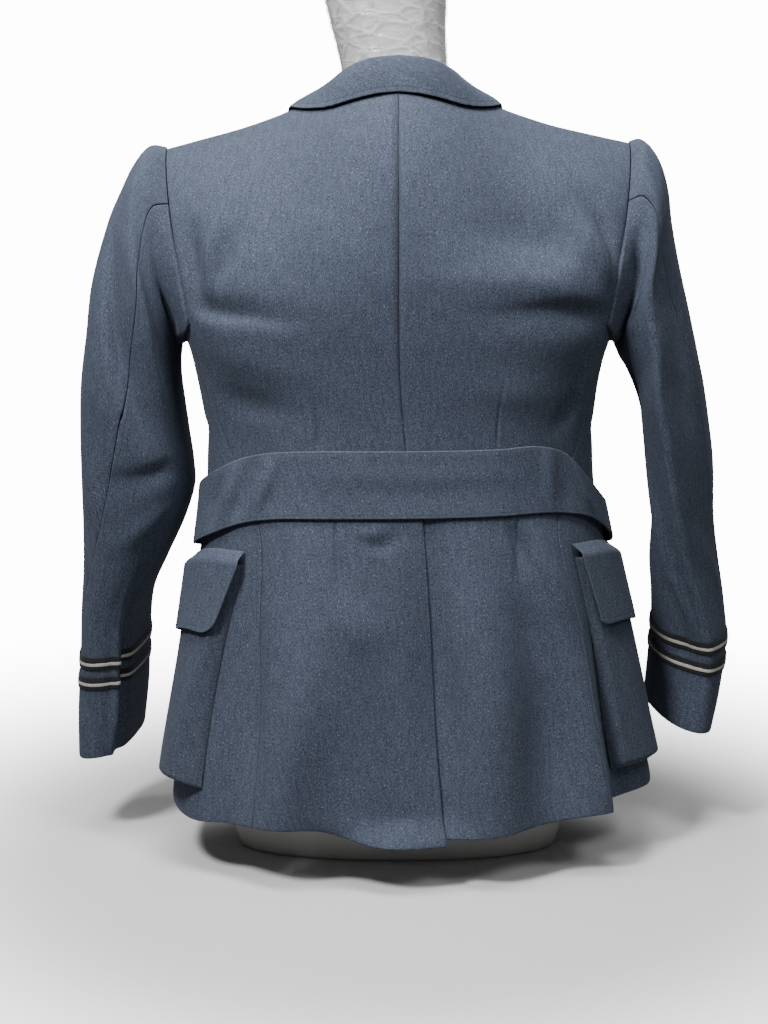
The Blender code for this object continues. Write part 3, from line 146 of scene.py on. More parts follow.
HEM = [
    Hem(-0.10, 0.048, 0.052),
    Hem(0.00, 0.048, 0.054),
    Hem(0.06, 0.051, 0.057),
    Hem(0.13, 0.062, 0.061),
    Hem(0.20, 0.064, 0.068),
    Hem(0.26, 0.062, 0.068),
    Hem(0.36, 0.057, 0.072),
    Hem(0.50, 0.062, 0.072),
    Hem(0.70, 0.056, 0.058),
    Hem(1.00, 0.052, 0.052),
    Hem(1.10, 0.052, 0.052),
]
Shoulder = namedtuple("Shoulder", "x y z")
SHOULDER = [
    Shoulder(0.000, 0.012, 0.8150),
    Shoulder(0.036, 0.012, 0.8080),
    Shoulder(0.072, 0.012, 0.7930),
    Shoulder(0.116, 0.010, 0.7750),
    Shoulder(0.152, 0.008, 0.7625),
    Shoulder(0.204, 0.005, 0.7485),
    Shoulder(0.237, 0.003, 0.7400),
    Shoulder(0.260, 0.002, 0.7340),
]
SHOULDER_RAISE = {LEFT: 0.000, RIGHT: 0.006}
NECK_CUT_BACK = 0.20

# %% Flutes of the skirt
Flute = namedtuple("Flute", "side s spread out top")
FLUTES = [
    Flute(LEFT, 0.035, 0.050, 0.012, 0.36),
    Flute(LEFT, 0.115, 0.040, -0.011, 0.33),
    Flute(LEFT, 0.190, 0.045, 0.008, 0.36),
    Flute(LEFT, 0.285, 0.035, -0.006, 0.34),
    Flute(LEFT, 0.760, 0.060, -0.005, 0.30),
    Flute(RIGHT, 0.055, 0.050, 0.012, 0.36),
    Flute(RIGHT, 0.130, 0.045, -0.010, 0.32),
    Flute(RIGHT, 0.760, 0.060, -0.005, 0.30),
]
RIDGE_OUT, RIDGE_TOP_Z, RIDGE_BACK_SPREAD = 0.016, 0.375, 0.085
RIDGE_TURN, RIDGE_RECOVER, RIDGE_HOLLOW = 0.050, 0.130, 2.1


def section(side, s, z):
    angle = np.pi * s
    square = read(BODY, "square", z)
    across = power(np.sin(angle), square)
    along = power(np.cos(angle), square)
    depth = np.where(along > 0, read(BODY, "back", z), read(BODY, "front", z))
    return points(side * read(BODY, "half_width", z) * across, depth * along, z)


def fold(side, s, z):
    out = np.zeros(np.broadcast(s, z).shape)
    for flute in FLUTES:
        if flute.side == side:
            reach = ease((flute.top - z) / (flute.top - BODY[1].z))
            out = out + flute.out * reach * np.exp(-(((s - flute.s) / flute.spread) ** 2))
    if side == RIGHT:
        past = s - read(SEAMS, "side_back", z)
        before = np.exp(-((past / RIDGE_BACK_SPREAD) ** 2))
        behind = 1 - RIDGE_HOLLOW * ease(past / RIDGE_TURN)
        behind = behind + (RIDGE_HOLLOW - 1) * ease((past - RIDGE_TURN) / RIDGE_RECOVER)
        reach = ease((RIDGE_TOP_Z - z) / (RIDGE_TOP_Z - BODY[1].z))
        out = out + RIDGE_OUT * reach * np.where(past < 0, before, behind)
    return out


# %% The surface below and above the underarm
def lower(side, s, z):
    place = section(side, s, z)
    round_it = section(side, s + STEP, z) - section(side, s - STEP, z)
    outward = unit(np.cross(round_it, (0.0, 0.0, 1.0))) * -side
    place = place + outward * fold(side, s, z)[..., None]
    twist = np.radians(read(BODY, "twist", z))
    x, y = place[..., 0], place[..., 1]
    turned_x = x * np.cos(twist) - y * np.sin(twist) + read(BODY, "centre_x", z)
    return points(turned_x, x * np.sin(twist) + y * np.cos(twist), z)


def top_x(side, s):
    seam = np.where(s < 0.5, SEAMS[-1].side_back, SEAMS[-1].side_front)
    x_at_seam = np.abs(section(side, seam, UNDERARM_Z)[..., 0])
    return np.abs(section(side, s, UNDERARM_Z)[..., 0]) * SHOULDER_X / x_at_seam


def upper(side, s, u):
    s = np.asarray(s, float)
    start = lower(side, s, UNDERARM_Z)
    rise = (start - lower(side, s, UNDERARM_Z - 0.004)) / 0.004
    x = top_x(side, s)
    z = read(SHOULDER, "z", x)
    z = z + SHOULDER_RAISE[side] * (np.maximum(x - NECK_X, 0) / (SHOULDER_X - NECK_X)) ** 1.5
    end = points(side * x * np.sign(np.sin(np.pi * s) + 1e-12), read(SHOULDER, "y", x), z)
    is_back = s < 0.5
    at_neck = 1 - ease(x / 0.14)
    arrive_y = np.where(is_back, -0.040 - 0.080 * at_neck, 0.042 + 0.030 * at_neck)
    arrive_z = np.where(is_back, 0.010 + 0.005 * at_neck, 0.008 + 0.006 * at_neck)
    first = start + rise * 0.080
    last = end - points(0.0 * arrive_y, arrive_y, arrive_z)
    u = np.asarray(u, float)[..., None]
    return (1 - u) ** 3 * start + 3 * u * (1 - u) ** 2 * first + 3 * u * u * (1 - u) * last + u**3 * end


def torso(side, s, v):
    s, v = np.broadcast_arrays(np.asarray(s, float), np.asarray(v, float))
    hem = read(HEM, SIDE_NAME[side], s)
    low = lower(side, s, hem + (UNDERARM_Z - hem) * np.clip(v, 0, 1))
    cut = np.where(s < 0.5, NECK_CUT_BACK, 0.0)
    share = 1 - cut * np.sqrt(np.clip(1 - (top_x(side, s) / NECK_X) ** 2, 0, 1))
    high = upper(side, s, np.clip(v - 1, 0, 1) * share)
    return np.where((v <= 1)[..., None], low, high)


def normals_of(surface, p, q, high, sign):
    p, q = np.broadcast_arrays(np.asarray(p, float), np.asarray(q, float))
    along_p = surface(p + STEP, q) - surface(p - STEP, q)
    along_q = surface(p, np.minimum(q + STEP, high)) - surface(p, np.maximum(q - STEP, 0.0))
    return unit(np.cross(along_p, along_q)) * sign


def torso_normal(side, s, v):
    return normals_of(lambda p, q: torso(side, p, q), s, v, 2.0, -side)


# %% [markdown]
# ## Creases given one by one
# Wool barathea is firm, so it breaks into a few long, soft creases where the jacket pulls:
# under the shoulder blades, beside the armholes, and below the belt. A cloth simulation
# would put them anywhere. Here each crease is a short line drawn on the surface, with a
# width, a height (below 0 for a trough), a lean that makes one flank steeper, and the share
# of its length where it is at its strongest. No two are alike.

# %% Creases of the body
Crease = namedtuple("Crease", "line width height lean peak")
BODY_CREASES = [
    Crease(((0.150, 0.690), (0.232, 0.640), (0.262, 0.597)), 0.012, 0.0050, 0.35, 0.60),
    Crease(((0.150, 0.668), (0.185, 0.632), (0.240, 0.585)), 0.014, -0.0060, -0.30, 0.55),
    Crease(((0.270, 0.680), (0.296, 0.625), (0.310, 0.570)), 0.020, -0.0110, 0.00, 0.55),
    Crease(((0.345, 0.578), (0.180, 0.571), (0.060, 0.566)), 0.012, -0.0072, 0.30, 0.35),
    Crease(((0.300, 0.552), (0.160, 0.548), (0.060, 0.545)), 0.016, 0.0016, -0.20, 0.40),
    Crease(((0.330, 0.532), (0.150, 0.519), (0.050, 0.512)), 0.018, 0.0032, 0.00, 0.45),
    Crease(((0.330, 0.490), (0.200, 0.480), (0.110, 0.477)), 0.014, -0.0046, 0.00, 0.40),
    Crease(((-0.020, 0.655), (-0.110, 0.650), (-0.220, 0.628)), 0.026, -0.0110, 0.20, 0.60),
    Crease(((-0.165, 0.700), (-0.254, 0.668), (-0.350, 0.612)), 0.010, -0.0090, 0.40, 0.60),
    Crease(((-0.160, 0.674), (-0.250, 0.636), (-0.350, 0.592)), 0.011, 0.0056, 0.00, 0.55),
    Crease(((0.020, 0.604), (-0.090, 0.606), (-0.250, 0.596)), 0.016, 0.0050, 0.00, 0.55),
    Crease(((-0.030, 0.568), (-0.185, 0.577), (-0.360, 0.568)), 0.014, -0.0076, -0.30, 0.65),
    Crease(((-0.350, 0.545), (-0.330, 0.505), (-0.280, 0.462)), 0.013, 0.0040, 0.20, 0.50),
    Crease(((-0.345, 0.520), (-0.300, 0.480), (-0.230, 0.455)), 0.012, -0.0044, 0.00, 0.50),
    Crease(((0.105, 0.700), (0.060, 0.660), (0.030, 0.600)), 0.022, 0.0020, 0.00, 0.50),
    Crease(((-0.060, 0.505), (-0.160, 0.492), (-0.250, 0.486)), 0.018, 0.0028, 0.00, 0.50),
]
BELOW_BELT_CREASES = [
    Crease(((0.060, 0.352), (0.030, 0.340), (0.010, 0.362)), 0.006, -0.0032, 0.40, 0.50),
    Crease(((0.074, 0.366), (0.044, 0.354), (0.024, 0.370)), 0.006, 0.0026, 0.00, 0.50),
    Crease(((0.150, 0.368), (0.142, 0.250), (0.165, 0.050)), 0.022, 0.0130, 0.30, 0.60),
    Crease(((0.035, 0.330), (0.035, 0.200), (0.035, 0.050)), 0.029, -0.0200, 0.00, 0.90),
    Crease(((0.108, 0.300), (0.108, 0.180), (0.105, 0.050)), 0.020, 0.0070, 0.00, 0.90),
    Crease(((0.240, 0.352), (0.240, 0.220), (0.232, 0.055)), 0.015, -0.0110, 0.00, 0.60),
    Crease(((0.112, 0.290), (0.066, 0.262), (0.025, 0.250)), 0.020, 0.0034, 0.00, 0.60),
    Crease(((0.092, 0.345), (0.092, 0.310), (0.086, 0.280)), 0.007, -0.0024, 0.00, 0.40),
    Crease(((-0.012, 0.366), (-0.016, 0.220), (-0.015, 0.050)), 0.011, -0.0135, 0.00, 0.50),
    Crease(((-0.066, 0.362), (-0.076, 0.220), (-0.074, 0.050)), 0.022, 0.0090, 0.00, 0.60),
    Crease(((-0.125, 0.368), (-0.148, 0.345), (-0.140, 0.305)), 0.008, -0.0060, 0.40, 0.45),
    Crease(((-0.170, 0.366), (-0.198, 0.310), (-0.224, 0.240)), 0.013, 0.0080, 0.20, 0.50),
    Crease(((-0.146, 0.290), (-0.158, 0.150), (-0.164, 0.050)), 0.018, -0.0130, 0.00, 0.60),
    Crease(((-0.112, 0.300), (-0.138, 0.262), (-0.156, 0.215)), 0.012, -0.0034, 0.20, 0.50),
]
FRONT_CREASES = [
    Crease(((0.700, 0.600), (0.790, 0.560), (0.900, 0.530)), 0.016, -0.0032, 0.20, 0.40),
    Crease(((-0.690, 0.604), (-0.770, 0.568), (-0.880, 0.525)), 0.016, -0.0034, 0.20, 0.50),
    Crease(((0.660, 0.520), (0.760, 0.500), (0.860, 0.470)), 0.014, 0.0026, 0.00, 0.45),
    Crease(((-0.670, 0.512), (-0.750, 0.486), (-0.840, 0.470)), 0.013, 0.0028, 0.00, 0.50),
    Crease(((0.640, 0.470), (0.730, 0.440), (0.850, 0.410)), 0.012, -0.0028, 0.25, 0.40),
    Crease(((-0.650, 0.458), (-0.760, 0.430), (-0.880, 0.405)), 0.012, -0.0024, 0.25, 0.55),
    Crease(((0.760, 0.295), (0.780, 0.220), (0.790, 0.110)), 0.014, -0.0034, 0.20, 0.55),
    Crease(((-0.750, 0.298), (-0.772, 0.230), (-0.780, 0.120)), 0.014, -0.0036, 0.20, 0.60),
    Crease(((0.850, 0.298), (0.866, 0.230), (0.872, 0.150)), 0.012, 0.0026, 0.00, 0.40),
    Crease(((-0.860, 0.296), (-0.876, 0.220), (-0.884, 0.120)), 0.012, 0.0024, 0.00, 0.50),
    Crease(((0.420, 0.540), (0.500, 0.520), (0.590, 0.516)), 0.012, -0.0030, 0.00, 0.50),
    Crease(((-0.420, 0.538), (-0.510, 0.514), (-0.590, 0.520)), 0.012, -0.0028, 0.00, 0.50),
    Crease(((0.400, 0.470), (0.480, 0.450), (0.570, 0.440)), 0.012, -0.0026, 0.20, 0.50),
    Crease(((-0.400, 0.466), (-0.490, 0.440), (-0.570, 0.425)), 0.012, -0.0030, 0.20, 0.50),
    Crease(((0.690, 0.680), (0.740, 0.640), (0.780, 0.600)), 0.018, -0.0026, 0.00, 0.50),
    Crease(((-0.690, 0.684), (-0.735, 0.650), (-0.780, 0.610)), 0.018, -0.0024, 0.00, 0.50),
]
HALF_GIRTH = 0.56


# %% How far the creases move a point
def round_corners(line):
    """A line of places with each bend cut across twice, so that no crease has a kink."""
    for _ in range(2):
        before = line[1:-1] * 0.75 + line[:-2] * 0.25
        after = line[1:-1] * 0.75 + line[2:] * 0.25
        bends = np.stack([before, after], axis=1).reshape(-1, 2)
        line = np.concatenate([line[:1], bends, line[-1:]])
    return line


def crease_height(creases, p, q, p_scale, q_scale):
    """Sum of the creases at places (p, q), where p_scale and q_scale turn both into metres."""
    total = np.zeros(np.broadcast(p, q).shape)
    here = np.stack(np.broadcast_arrays(p * p_scale, q * q_scale), axis=-1)
    low, high = here.reshape(-1, 2).min(axis=0), here.reshape(-1, 2).max(axis=0)
    for crease in creases:
        line = round_corners(np.array(crease.line) * (p_scale, q_scale))
        reach = 4 * crease.width
        if (line.min(axis=0) - reach > high).any() or (line.max(axis=0) + reach < low).any():
            continue
        lengths = np.linalg.norm(np.diff(line, axis=0), axis=1)
        starts = np.concatenate([[0.0], np.cumsum(lengths)])
        best, along = np.full(total.shape, 1e9), np.zeros(total.shape)
        weights, sides = np.full(total.shape, 1e-9), np.zeros(total.shape)
        for k, length in enumerate(lengths):
            ahead = (line[k + 1] - line[k]) / length
            away = here - line[k]
            run = np.clip(away @ ahead, 0, length)
            distance = np.linalg.norm(away - run[..., None] * ahead, axis=-1)
            weight = np.exp(-((distance / crease.width) ** 2))
            weights = weights + weight
            sides = sides + weight * (away[..., 0] * ahead[1] - away[..., 1] * ahead[0])
            along = np.where(distance < best, (starts[k] + run) / starts[-1], along)
            best = np.minimum(best, distance)
        width = crease.width * (1 + crease.lean * np.tanh(sides / weights / (0.35 * crease.width)))
        share = np.where(along < crease.peak, along / crease.peak, (1 - along) / (1 - crease.peak))
        total = total + crease.height * np.exp(-((best / width) ** 2)) * ease(0.15 + 0.85 * share)
    return total


# %% [markdown]
# The belt holds the cloth flat under it, and the cloth rests on the form at the shoulders.
# So the creases fade out before they reach either, which also keeps the pieces apart.

# %% The torso as it is worn
Belt = namedtuple("Belt", "s foot_left top_left off_left foot_right top_right off_right")
BELT = [
    Belt(0.00, 0.3715, 0.4385, 0.0010, 0.3715, 0.4385, 0.0010),
    Belt(0.12, 0.3710, 0.4380, 0.0010, 0.3725, 0.4395, 0.0010),
    Belt(0.21, 0.3690, 0.4350, 0.0012, 0.3735, 0.4410, 0.0010),
    Belt(0.27, 0.3640, 0.4290, 0.0020, 0.3710, 0.4330, 0.0020),
    Belt(0.34, 0.3530, 0.4170, 0.0040, 0.3630, 0.4060, 0.0045),
    Belt(0.42, 0.3400, 0.4030, 0.0060, 0.3430, 0.3800, 0.0070),
    Belt(0.52, 0.3270, 0.3890, 0.0050, 0.3230, 0.3720, 0.0070),
    Belt(0.70, 0.3120, 0.3780, 0.0030, 0.3110, 0.3740, 0.0040),
    Belt(0.88, 0.3060, 0.3730, 0.0040, 0.3060, 0.3730, 0.0040),
    Belt(1.05, 0.3050, 0.3720, 0.0040, 0.3050, 0.3720, 0.0040),
]
BELT_FADE = 0.012
SHOULDER_FADE_Z = (0.735, 0.685)


def body_creases(side, s, z):
    creases = BODY_CREASES + BELOW_BELT_CREASES + FRONT_CREASES
    height = crease_height(creases, side * s, z, HALF_GIRTH, 1.0)
    name = SIDE_NAME[side]
    foot, top = read(BELT, "foot_" + name, np.abs(s)), read(BELT, "top_" + name, np.abs(s))
    outside = ease((z - top - 0.001) / BELT_FADE) + ease((foot - 0.001 - z) / BELT_FADE)
    level = ease((SHOULDER_FADE_Z[0] - z) / (SHOULDER_FADE_Z[0] - SHOULDER_FADE_Z[1]))
    return height * outside * level


def worn(side, s, v):
    """A place on the torso with its creases, and the direction out of the cloth there."""
    plain, normal = torso(side, s, v), torso_normal(side, s, v)
    return plain + normal * body_creases(side, s, plain[..., 2])[..., None], normal


def height_to_v(side, s, z):
    hem = read(HEM, SIDE_NAME[side], s)
    return (z - hem) / (UNDERARM_Z - hem)


# %% [markdown]
# ## One layer of cloth
# Cloth is one thin layer with two faces. Here a grid is laid on its surface, and a second
# grid a cloth's thickness behind it is joined to it by a rim, whose corners are eased as a
# pressed edge is. The grid is finer next to its edges and stitch lines, where the cloth
# dips. Each grid keeps its own measured width and length as a UV map, so that the weave
# follows the cloth and not the room.

# %% Where the rows and columns of a grid go
def stops(count, length, fine=(0.0008, 0.0020, 0.0036), grooves=(), ends=(True, True)):
    """Shares from 0 to 1 along a side of this length, closer together at its ends."""
    shares = set(np.linspace(0, 1, max(4, int(count * DETAIL))))
    near = list(fine)
    for groove in grooves:
        near += [groove - 0.0012, groove - 0.0005, groove, groove + 0.0005, groove + 0.0012]
    for distance in near:
        if ends[0]:
            shares.add(distance / length)
        if ends[1]:
            shares.add(1 - distance / length)
    ordered = sorted(shares)
    kept = [0.0]
    for share in ordered[1:-1]:
        if (share - kept[-1]) * length > 0.0003 and (1 - share) * length > 0.0003:
            kept.append(share)
    return np.array(kept + [1.0])


# %% The slide between the plain model and these tables
SLIDE = np.array((0.005919, -0.001071, 0.0))

# %% Make a piece of cloth
def measure(grid):
    """Width, length and area of a grid of places, before it is thickened."""
    across = np.linalg.norm(np.diff(grid, axis=0), axis=-1)
    along = np.linalg.norm(np.diff(grid, axis=1), axis=-1)
    one, two = grid[1:, :-1] - grid[:-1, :-1], grid[:-1, 1:] - grid[:-1, :-1]
    area = np.linalg.norm(np.cross(one, two), axis=-1).sum()
    return float(across.sum(axis=0).max()), float(along.sum(axis=1).max()), float(area)


def edge_distance(grid, closed):
    """How far each place of a grid is from the nearest edge of the cloth."""
    across = np.linalg.norm(np.diff(grid, axis=0), axis=-1)
    along = np.linalg.norm(np.diff(grid, axis=1), axis=-1)
    width = np.concatenate([np.zeros((1, grid.shape[1])), np.cumsum(across, axis=0)])
    length = np.concatenate([np.zeros((grid.shape[0], 1)), np.cumsum(along, axis=1)], axis=1)
    near = np.minimum(length, length[:, -1:] - length)
    if not closed:
        near = np.minimum(near, np.minimum(width, width[-1:] - width))
    return near, width, length


SEAM_DIP, SEAM_DIP_WIDTH = 0.00030, 0.0020
TURN = 0.18
GROOVE_DEPTH, GROOVE_WIDTH = 0.00028, 0.0006


def shell_faces(columns, rows, closed):
    """Faces of an outer and an inner grid, and of the rim that joins them."""
    last = columns if closed else columns - 1
    i, j = np.meshgrid(np.arange(last), np.arange(rows - 1), indexing="ij")
    after = (i + 1) % columns
    quads = np.stack([i * rows + j, after * rows + j, after * rows + j + 1, i * rows + j + 1],
            axis=-1).reshape(-1, 4)
    inner = columns * rows
    if closed:
        foot = [k * rows for k in range(columns)]
        loops = [foot + foot[:1], [k + rows - 1 for k in foot + foot[:1]][::-1]]
    else:
        loop = [k * rows for k in range(columns)]
        loop += [(columns - 1) * rows + k for k in range(1, rows)]
        loop += [k * rows + rows - 1 for k in range(columns - 2, -1, -1)]
        loop += [k for k in range(rows - 2, -1, -1)]
        loops = [loop]
    rim = [(b, a, a + inner, b + inner) for loop in loops for a, b in zip(loop, loop[1:])]
    return np.concatenate([quads, quads[:, ::-1] + inner, np.array(rim)])


def cloth(name, place, across, up, thickness=CLOTH, closed=False, grooves=()):
    grid, normal = place(*np.meshgrid(across, up, indexing="ij"))
    near, width, length = edge_distance(grid, closed)
    if closed:
        grid, normal, near, width, length = (x[:-1] for x in (grid, normal, near, width, length))
    dip = SEAM_DIP * np.exp(-((near / SEAM_DIP_WIDTH) ** 2))
    for groove in grooves:
        dip = dip + GROOVE_DEPTH * np.exp(-(((near - groove) / GROOVE_WIDTH) ** 2))
    at_edge = near < 1e-9
    dip = np.where(at_edge, np.maximum(dip, TURN * thickness), dip)
    outer = grid - normal * dip[..., None] + SLIDE
    inner = grid - normal * (thickness * np.where(at_edge, 1 - TURN, 1.0))[..., None] + SLIDE
    columns, rows = near.shape
    faces = shell_faces(columns, rows, closed)
    middle = (columns // 2, rows // 2)
    a, b, c = (outer[middle[0] + di, middle[1] + dj] for di, dj in ((0, 0), (1, 0), (0, 1)))
    if np.dot(np.cross(b - a, c - a), normal[middle]) < 0:
        faces = faces[:, ::-1]
    mesh = bpy.data.meshes.new(name)
    mesh.from_pydata(np.concatenate([outer.reshape(-1, 3), inner.reshape(-1, 3)]), [],
            faces.tolist())
    corner = np.zeros(len(mesh.loops), int)
    mesh.loops.foreach_get("vertex_index", corner)
    uv = np.stack([width, length], axis=-1).reshape(-1, 2)
    layer = mesh.uv_layers.new(name="weave")
    layer.data.foreach_set("uv", np.concatenate([uv, uv])[corner].ravel())
    worn_edge = mesh.attributes.new("edge", "FLOAT", "POINT")
    rub = np.exp(-near.ravel() / 0.0030).astype(np.float32)
    worn_edge.data.foreach_set("value", np.concatenate([rub, rub]))
    mesh.shade_smooth()
    made = bpy.data.objects.new(name, mesh)
    bpy.context.scene.collection.objects.link(made)
    made["cut"] = measure(grid)
    return made


def dress(made, material, nodes):
    """Gives a piece its finish and its body, and hides the plain nodes that it stands for."""
    made.data.materials.append(material)
    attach(made, BODY_NAME)
    if nodes:
        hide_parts(*nodes)
    return made


# %% [markdown]
# ## Shared effects
# The cloth, braid and thread all have fine fibres, so their grain is made once as a node
# group and used with other sizes. The weave is a twill: fine diagonal ribs, broken up by
# noise that is stretched along the warp. A few pale fibres stand out of it, as in the real
# heathered yarn.

# %% A small language for node trees
def add_node(tree, kind, **settings):
    node = tree.nodes.new(kind)
    inputs = settings.pop("inputs", {})
    for key, value in settings.items():
        setattr(node, key, value)
    for key, value in inputs.items():
        socket = node.inputs[key]
        if isinstance(value, bpy.types.NodeSocket):
            tree.links.new(value, socket)
        else:
            socket.default_value = value
    return node


def calculate(tree, operation, *values, clamp=False):
    node = add_node(tree, "ShaderNodeMath", operation=operation, use_clamp=clamp)
    for socket, value in zip(node.inputs, values):
        if isinstance(value, bpy.types.NodeSocket):
            tree.links.new(value, socket)
        else:
            socket.default_value = value
    return node.outputs[0]


def blend_colours(tree, factor, first, second, blend="MIX"):
    node = add_node(tree, "ShaderNodeMix", data_type="RGBA", blend_type=blend)
    for key, value in (("Factor_Float", factor), ("A_Color", first), ("B_Color", second)):
        socket = next(s for s in node.inputs if s.identifier == key)
        if isinstance(value, bpy.types.NodeSocket):
            tree.links.new(value, socket)
        else:
            socket.default_value = value
    return next(s for s in node.outputs if s.identifier == "Result_Color")


def new_group(name, inputs, outputs):
    tree = bpy.data.node_groups.new(name, "ShaderNodeTree")
    for title, kind, value in inputs:
        socket = tree.interface.new_socket(title, in_out="INPUT", socket_type=kind)
        socket.default_value = value
    for title, kind in outputs:
        tree.interface.new_socket(title, in_out="OUTPUT", socket_type=kind)
    return tree, tree.nodes.new("NodeGroupInput"), tree.nodes.new("NodeGroupOutput")


# %% The heathered twill group
def make_twill_group():
    inputs = [
        ("Dark Fibre", "NodeSocketColor", (0.02, 0.03, 0.05, 1.0)),
        ("Light Fibre", "NodeSocketColor", (0.15, 0.20, 0.28, 1.0)),
        ("Fleck", "NodeSocketColor", (0.45, 0.50, 0.56, 1.0)),
        ("Rib Width", "NodeSocketFloat", 0.0012),
        ("Heather", "NodeSocketFloat", 1.0),
        ("Edge Wear", "NodeSocketFloat", 0.2),
    ]
    outputs = [("Colour", "NodeSocketColor"), ("Roughness", "NodeSocketFloat"),
            ("Height", "NodeSocketFloat")]
    tree, given, result = new_group("heathered_twill", inputs, outputs)
    place = add_node(tree, "ShaderNodeUVMap", uv_map="weave").outputs["UV"]
    apart = add_node(tree, "ShaderNodeSeparateXYZ", inputs={"Vector": place})
    u, v = apart.outputs["X"], apart.outputs["Y"]
    slant = calculate(tree, "ADD", u, calculate(tree, "MULTIPLY", v, 0.62))
    turns = calculate(tree, "DIVIDE", calculate(tree, "MULTIPLY", slant, 2 * math.pi),
            given.outputs["Rib Width"])
    rib = calculate(tree, "MULTIPLY_ADD", calculate(tree, "SINE", turns), 0.5, 0.5)

    def fibres(across, along, detail):
        scaled = add_node(tree, "ShaderNodeCombineXYZ", inputs={
            "X": calculate(tree, "MULTIPLY", u, across),
            "Y": calculate(tree, "MULTIPLY", v, along),
        }).outputs["Vector"]
        noise = add_node(tree, "ShaderNodeTexNoise",
                inputs={"Vector": scaled, "Scale": 1.0, "Detail": detail})
        return noise.outputs["Fac"]

    warp = fibres(1150, 420, 3.0)
    slub = fibres(300, 60, 2.0)
    fleck = fibres(620, 470, 1.0)
    cloud = fibres(16, 9, 3.0)
    mixed = calculate(tree, "MULTIPLY_ADD", calculate(tree, "SUBTRACT", warp, 0.5), 2.4, 0.5)
    mixed = calculate(tree, "MULTIPLY_ADD", calculate(tree, "SUBTRACT", slub, 0.5), 0.7, mixed)
    mixed = calculate(tree, "MULTIPLY_ADD", calculate(tree, "SUBTRACT", rib, 0.5), 0.22, mixed)
    mixed = calculate(tree, "SUBTRACT", mixed, 0.5)
    mixed = calculate(tree, "MULTIPLY_ADD", mixed, given.outputs["Heather"], 0.5, clamp=True)
    colour = blend_colours(tree, mixed, given.outputs["Dark Fibre"], given.outputs["Light Fibre"])
    pale = calculate(tree, "MULTIPLY", calculate(tree, "SUBTRACT", fleck, 0.66), 9.0, clamp=True)
    colour = blend_colours(tree, calculate(tree, "MULTIPLY", pale, 0.55), colour,
            given.outputs["Fleck"])
    edge = add_node(tree, "ShaderNodeAttribute", attribute_name="edge").outputs["Fac"]
    rubbed = calculate(tree, "MULTIPLY", edge, given.outputs["Edge Wear"])
    rubbed = calculate(tree, "MULTIPLY", rubbed, calculate(tree, "ADD", cloud, 0.4), clamp=True)
    colour = blend_colours(tree, rubbed, colour, given.outputs["Fleck"])
    shade = calculate(tree, "MULTIPLY_ADD", calculate(tree, "SUBTRACT", cloud, 0.5), 0.34, 1.0)
    tone = add_node(tree, "ShaderNodeCombineXYZ",
            inputs={"X": shade, "Y": shade, "Z": shade}).outputs["Vector"]
    colour = blend_colours(tree, 1.0, colour, tone, "MULTIPLY")
    rough = calculate(tree, "MULTIPLY_ADD", calculate(tree, "SUBTRACT", warp, 0.5), 0.25, 0.86)
    height = calculate(tree, "MULTIPLY_ADD", rib, 0.35, calculate(tree, "MULTIPLY", warp, 0.9))
    height = calculate(tree, "MULTIPLY_ADD", slub, 0.5, height)
    tree.links.new(colour, result.inputs["Colour"])
    tree.links.new(rough, result.inputs["Roughness"])
    tree.links.new(height, result.inputs["Height"])
    return tree


TWILL = make_twill_group()
print("node group made:", TWILL.name, "with", len(TWILL.nodes), "nodes")


# %% Cloth finishes
def cloth_material(name, dark, light, fleck, rib=0.0012, heather=1.0, wear=0.0, sheen=0.08,
        bump=0.00012):
    material = bpy.data.materials.new(name)
    material.use_nodes = True
    tree = material.node_tree
    shader = tree.nodes["Principled BSDF"]
    group = add_node(tree, "ShaderNodeGroup", node_tree=TWILL)
    group.inputs["Dark Fibre"].default_value = (*dark, 1.0)
    group.inputs["Light Fibre"].default_value = (*light, 1.0)
    group.inputs["Fleck"].default_value = (*fleck, 1.0)
    group.inputs["Rib Width"].default_value = rib
    group.inputs["Heather"].default_value = heather
    group.inputs["Edge Wear"].default_value = wear
    bumped = add_node(tree, "ShaderNodeBump", inputs={"Height": group.outputs["Height"],
            "Strength": 0.5, "Distance": bump})
    tree.links.new(group.outputs["Colour"], shader.inputs["Base Color"])
    tree.links.new(group.outputs["Roughness"], shader.inputs["Roughness"])
    tree.links.new(bumped.outputs["Normal"], shader.inputs["Normal"])
    shader.inputs["Specular IOR Level"].default_value = 0.22
    shader.inputs["Sheen Weight"].default_value = sheen
    shader.inputs["Sheen Roughness"].default_value = 0.45
    shader.inputs["Sheen Tint"].default_value = (0.72, 0.80, 0.92, 1.0)
    return material


SLATE = ((0.024, 0.031, 0.050), (0.108, 0.132, 0.186), (0.36, 0.40, 0.46))
WOOL = cloth_material("slate_wool", *SLATE)
TRIM_WOOL = cloth_material("slate_wool_rubbed", *SLATE, wear=0.10)
# A darker copy of the same wool, with shade painted into its colour, for the pocket bags and the collar stand.
PAINTED_SHADE_WOOL = cloth_material("slate_wool_painted_shade", (0.022, 0.028, 0.044), (0.098, 0.119, 0.166),
        (0.32, 0.36, 0.42))
THREAD = cloth_material("sewing_thread", (0.050, 0.062, 0.088), (0.150, 0.178, 0.230),
        (0.35, 0.38, 0.43), rib=0.0006, sheen=0.1)
BRAID_BLACK = cloth_material(
    "black_braid", (0.006, 0.006, 0.007), (0.030, 0.030, 0.032), (0.10, 0.10,
            0.10), rib=0.0016, wear=0.05, sheen=0.15)
BRAID_PALE = cloth_material(
    "pale_stripe", (0.34, 0.33, 0.31), (0.60, 0.58, 0.53), (0.75, 0.73,
            0.68), rib=0.0010, wear=0.05, sheen=0.1)

# %% [markdown]
# ## Body panels
# Two backs, two side panels and two fronts are cut apart and sewn together, so each is its
# own piece here, a hair from the next. The backs are open below the belt at the centre vent,
# where the wearer's left lies over the right. Each also has a dart above the belt and a short
# one below it: a fine pinched line, deepest at the belt.


